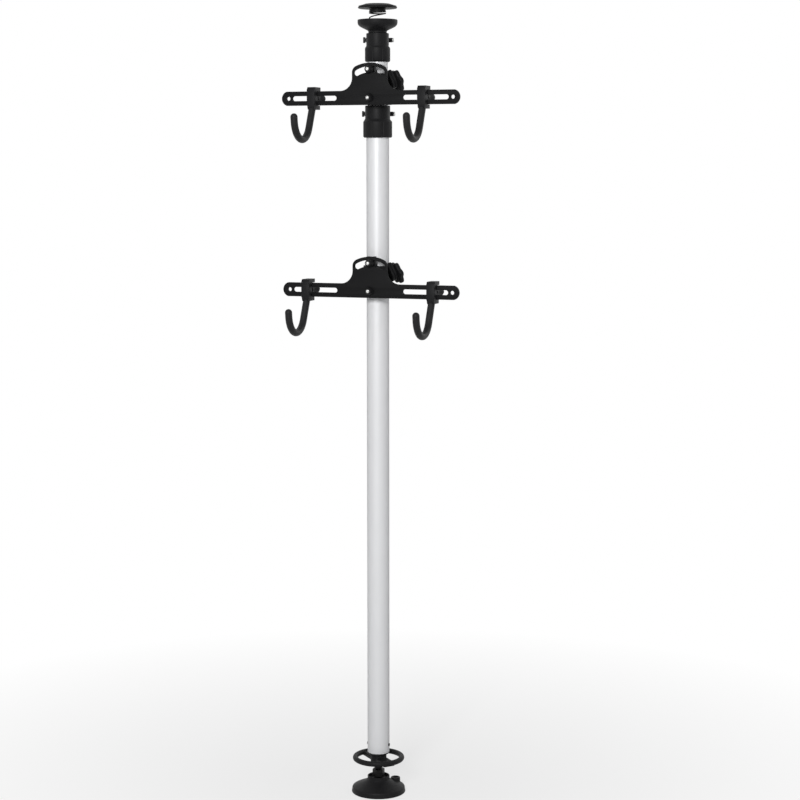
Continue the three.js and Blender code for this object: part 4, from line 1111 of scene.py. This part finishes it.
# Hook blocks, hooks and hand nuts
# A black moulded block wraps the arm's edges and slides in its slot. It holds a steel hook dipped in soft
# black rubber, and a fluted hand nut behind the arm locks it.
def dipped_rubber(name):
    """Dipped soft rubber over steel: satin, slightly uneven, with a faint skin texture."""
    finish = Finish(name, 0.5, specular=0.15)
    skin = finish.noise(700, 3)
    runs = finish.noise(55, 2)
    finish.color(runs * 0.6 + skin * 0.3, (0.0085, 0.0085, 0.009), (0.0195, 0.0195, 0.02))
    finish.rough(0.44 + skin * 0.1 + runs * 0.06)
    finish.bump(skin * 0.4 + runs, 0.25, 0.0002)
    return finish.material


hook_rubber = dipped_rubber("hook_rubber")
hook_radius = 7.05 * mm
stem_length = 40.2 * mm
bend_radius = 39.7 * mm
tip_length = 7.8 * mm
slant = math.radians(25)
tip_lean = math.radians(7)


def hook_line(x, mouth):
    """The hook's middle line: out of its block, down the slanted stem, round the bend and up to the tip."""
    stem_steps, bend_steps, tip_steps = 8, 48, 4
    points = [(x, mouth.y, mouth.z - 0.1 * mm)]
    for i in range(1, stem_steps + 1):
        run = stem_length * i / stem_steps
        points.append((x, mouth.y - run * math.sin(slant), mouth.z - run * math.cos(slant)))
    _, y, z = points[-1]
    sweep = math.pi - slant - tip_lean
    for i in range(1, bend_steps + 1):
        turn = sweep * i / bend_steps
        points.append((
            x,
            y - bend_radius * (math.cos(slant) - math.cos(slant + turn)),
            z - bend_radius * (math.sin(slant + turn) - math.sin(slant)),
        ))
    _, y, z = points[-1]
    for i in range(1, tip_steps + 1):
        run = tip_length * i / tip_steps
        points.append((x, y - run * math.sin(tip_lean), z + run * math.cos(tip_lean)))
    return points


def softened_copy(name, node, width):
    """A plain solid's flat faces, merged, with its edges rounded over."""
    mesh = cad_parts[node].data.copy()
    shape = bmesh.new()
    shape.from_mesh(mesh)
    bmesh.ops.remove_doubles(shape, verts=shape.verts, dist=0.005 * mm)
    bmesh.ops.dissolve_limit(
        shape, angle_limit=math.radians(1), verts=shape.verts, edges=shape.edges, delimit={"NORMAL"}
    )
    shape.to_mesh(mesh)
    shape.free()
    return eased(linked(name, mesh), width, 3)


nut_rings = [
    (7.4, 0, 0), (7.8, 0, 0.6), (7.8, 0, 6.2), (9.8, 0.25, 12.2), (11.7, 0.45, 17.9), (12.6, 0.5, 21.5),
    (12.6, 0.5, 24.2), (11.8, 0.5, 25.3), (8.8, 0, 25.4),
]
for mount in ("lower", "upper"):
    for hand in ("left", "right"):
        node = f"{mount}_{hand}_hook"
        slider_low, slider_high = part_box(f"{node}_block")
        slider = softened_copy(f"{node}_slider", f"{node}_block", 0.7 * mm)
        fitted(slider, black_moulding, node, "black_plastic", f"{node}_block")

        x = (slider_low.x + slider_high.x) / 2
        mouth = Vector((x, slider_low.y + 7.6 * mm, slider_low.z))
        line = hook_line(x, mouth)
        bar = swept(f"{node}_dipped", line, hook_radius, 10)
        end = Vector(line[-1])
        rise = (end - Vector(line[-2])).normalized()
        tip_outline = [(0, 0)] + arc((0, 0), hook_radius, 0, 90, 12)[:-1] + [(0, hook_radius)]
        tip = placed(turned("tip", tip_outline, 44), facing(rise, end))
        coated = united(f"{node}_coated", bar, tip)
        fitted(coated, hook_rubber, node, "black_rubber", node)

        nut_low, nut_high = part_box(f"{node}_nut")
        hand_nut = lobed(f"{node}_fluted_nut", nut_rings, 6, 72)
        cut(hand_nut, rod("bore", 4.3 * mm, -4 * mm, 30 * mm, 32))
        placed(hand_nut, facing((0, 1, 0), (x, nut_low.y, (nut_low.z + nut_high.z) / 2)))
        eased(hand_nut, 0)
        fitted(hand_nut, black_moulding, f"{node}_nut", "black_plastic", f"{node}_nut")


# Floor and light
# A plain pale studio floor keeps the tower's shadow. Over it stand a soft key lamp, a weaker fill and a
# rim lamp.
def white_room():
    """A world that is plain white to the camera, in mirrors and through glass, and otherwise dim."""
    world = bpy.data.worlds.new("room")
    world.use_nodes = True
    wiring = Wiring(world.node_tree)
    ray = wiring.node("ShaderNodeLightPath").outputs
    seen = wiring.math("MAXIMUM", ray["Is Camera Ray"], ray["Is Glossy Ray"])
    clear = wiring.math("MAXIMUM", seen, ray["Is Transmission Ray"])
    soft = world.node_tree.nodes["Background"]
    wiring.feed(soft.inputs["Color"], white)
    wiring.feed(soft.inputs["Strength"], 0.15)
    plain = wiring.node("ShaderNodeBackground", {"Color": white, "Strength": 1.0})
    mixed = wiring.node("ShaderNodeMixShader", {0: clear, 1: soft, 2: plain})
    wiring.feed(world.node_tree.nodes["World Output"].inputs["Surface"], mixed)
    bpy.context.scene.world = world


white = (1, 1, 1, 1)
white_room()
floor_reach = 20
floor = block("floor", (-floor_reach, -floor_reach, -20 * mm), (floor_reach, floor_reach, 0))
floor_finish = Finish("floor_paint", 0.9, specular=0.1)
floor_finish.shader.inputs["Base Color"].default_value = (0.85, 0.85, 0.85, 1)
glow = floor_finish.node("ShaderNodeEmission", {"Color": white, "Strength": 1.0})
ray = floor_finish.node("ShaderNodeLightPath").outputs
direct = floor_finish.math("MAXIMUM", ray["Is Camera Ray"], ray["Is Glossy Ray"])
away = floor_finish.node("ShaderNodeVectorMath", {0: floor_finish.place}, operation="LENGTH")
distance = Amount(floor_finish, away.outputs["Value"])
fade = floor_finish.spots(distance * 0.5, 0.1, 0.7)
shown = direct * (0.7 + fade * 0.3)
mixed = floor_finish.node("ShaderNodeMixShader", {0: shown, 1: floor_finish.shader, 2: glow})
floor_finish.feed(floor_finish.tree.nodes["Material Output"].inputs["Surface"], mixed)
floor.data.materials.append(floor_finish.material)


def lamp(name, azimuth, height, distance, size, power, aim):
    """A soft square lamp on the photographer's side, given by its azimuth from the camera's."""
    data = bpy.data.lights.new(name, "AREA")
    data.energy = power
    data.size = size
    source = linked(name, data)
    turn = view_azimuth + math.radians(azimuth)
    source.location = (distance * math.sin(turn), -distance * math.cos(turn), height)
    toward = Vector((0, 0, aim)) - source.location
    source.rotation_euler = toward.to_track_quat("-Z", "Y").to_euler()


lamp("key", -13, 2.2, 3.6, 1.0, 99, 1.0)
lamp("fill", 60, 1.6, 3.6, 1.6, 5, 0.9)
lamp("rim", 125, 2.0, 3.0, 1.2, 9, 1.0)
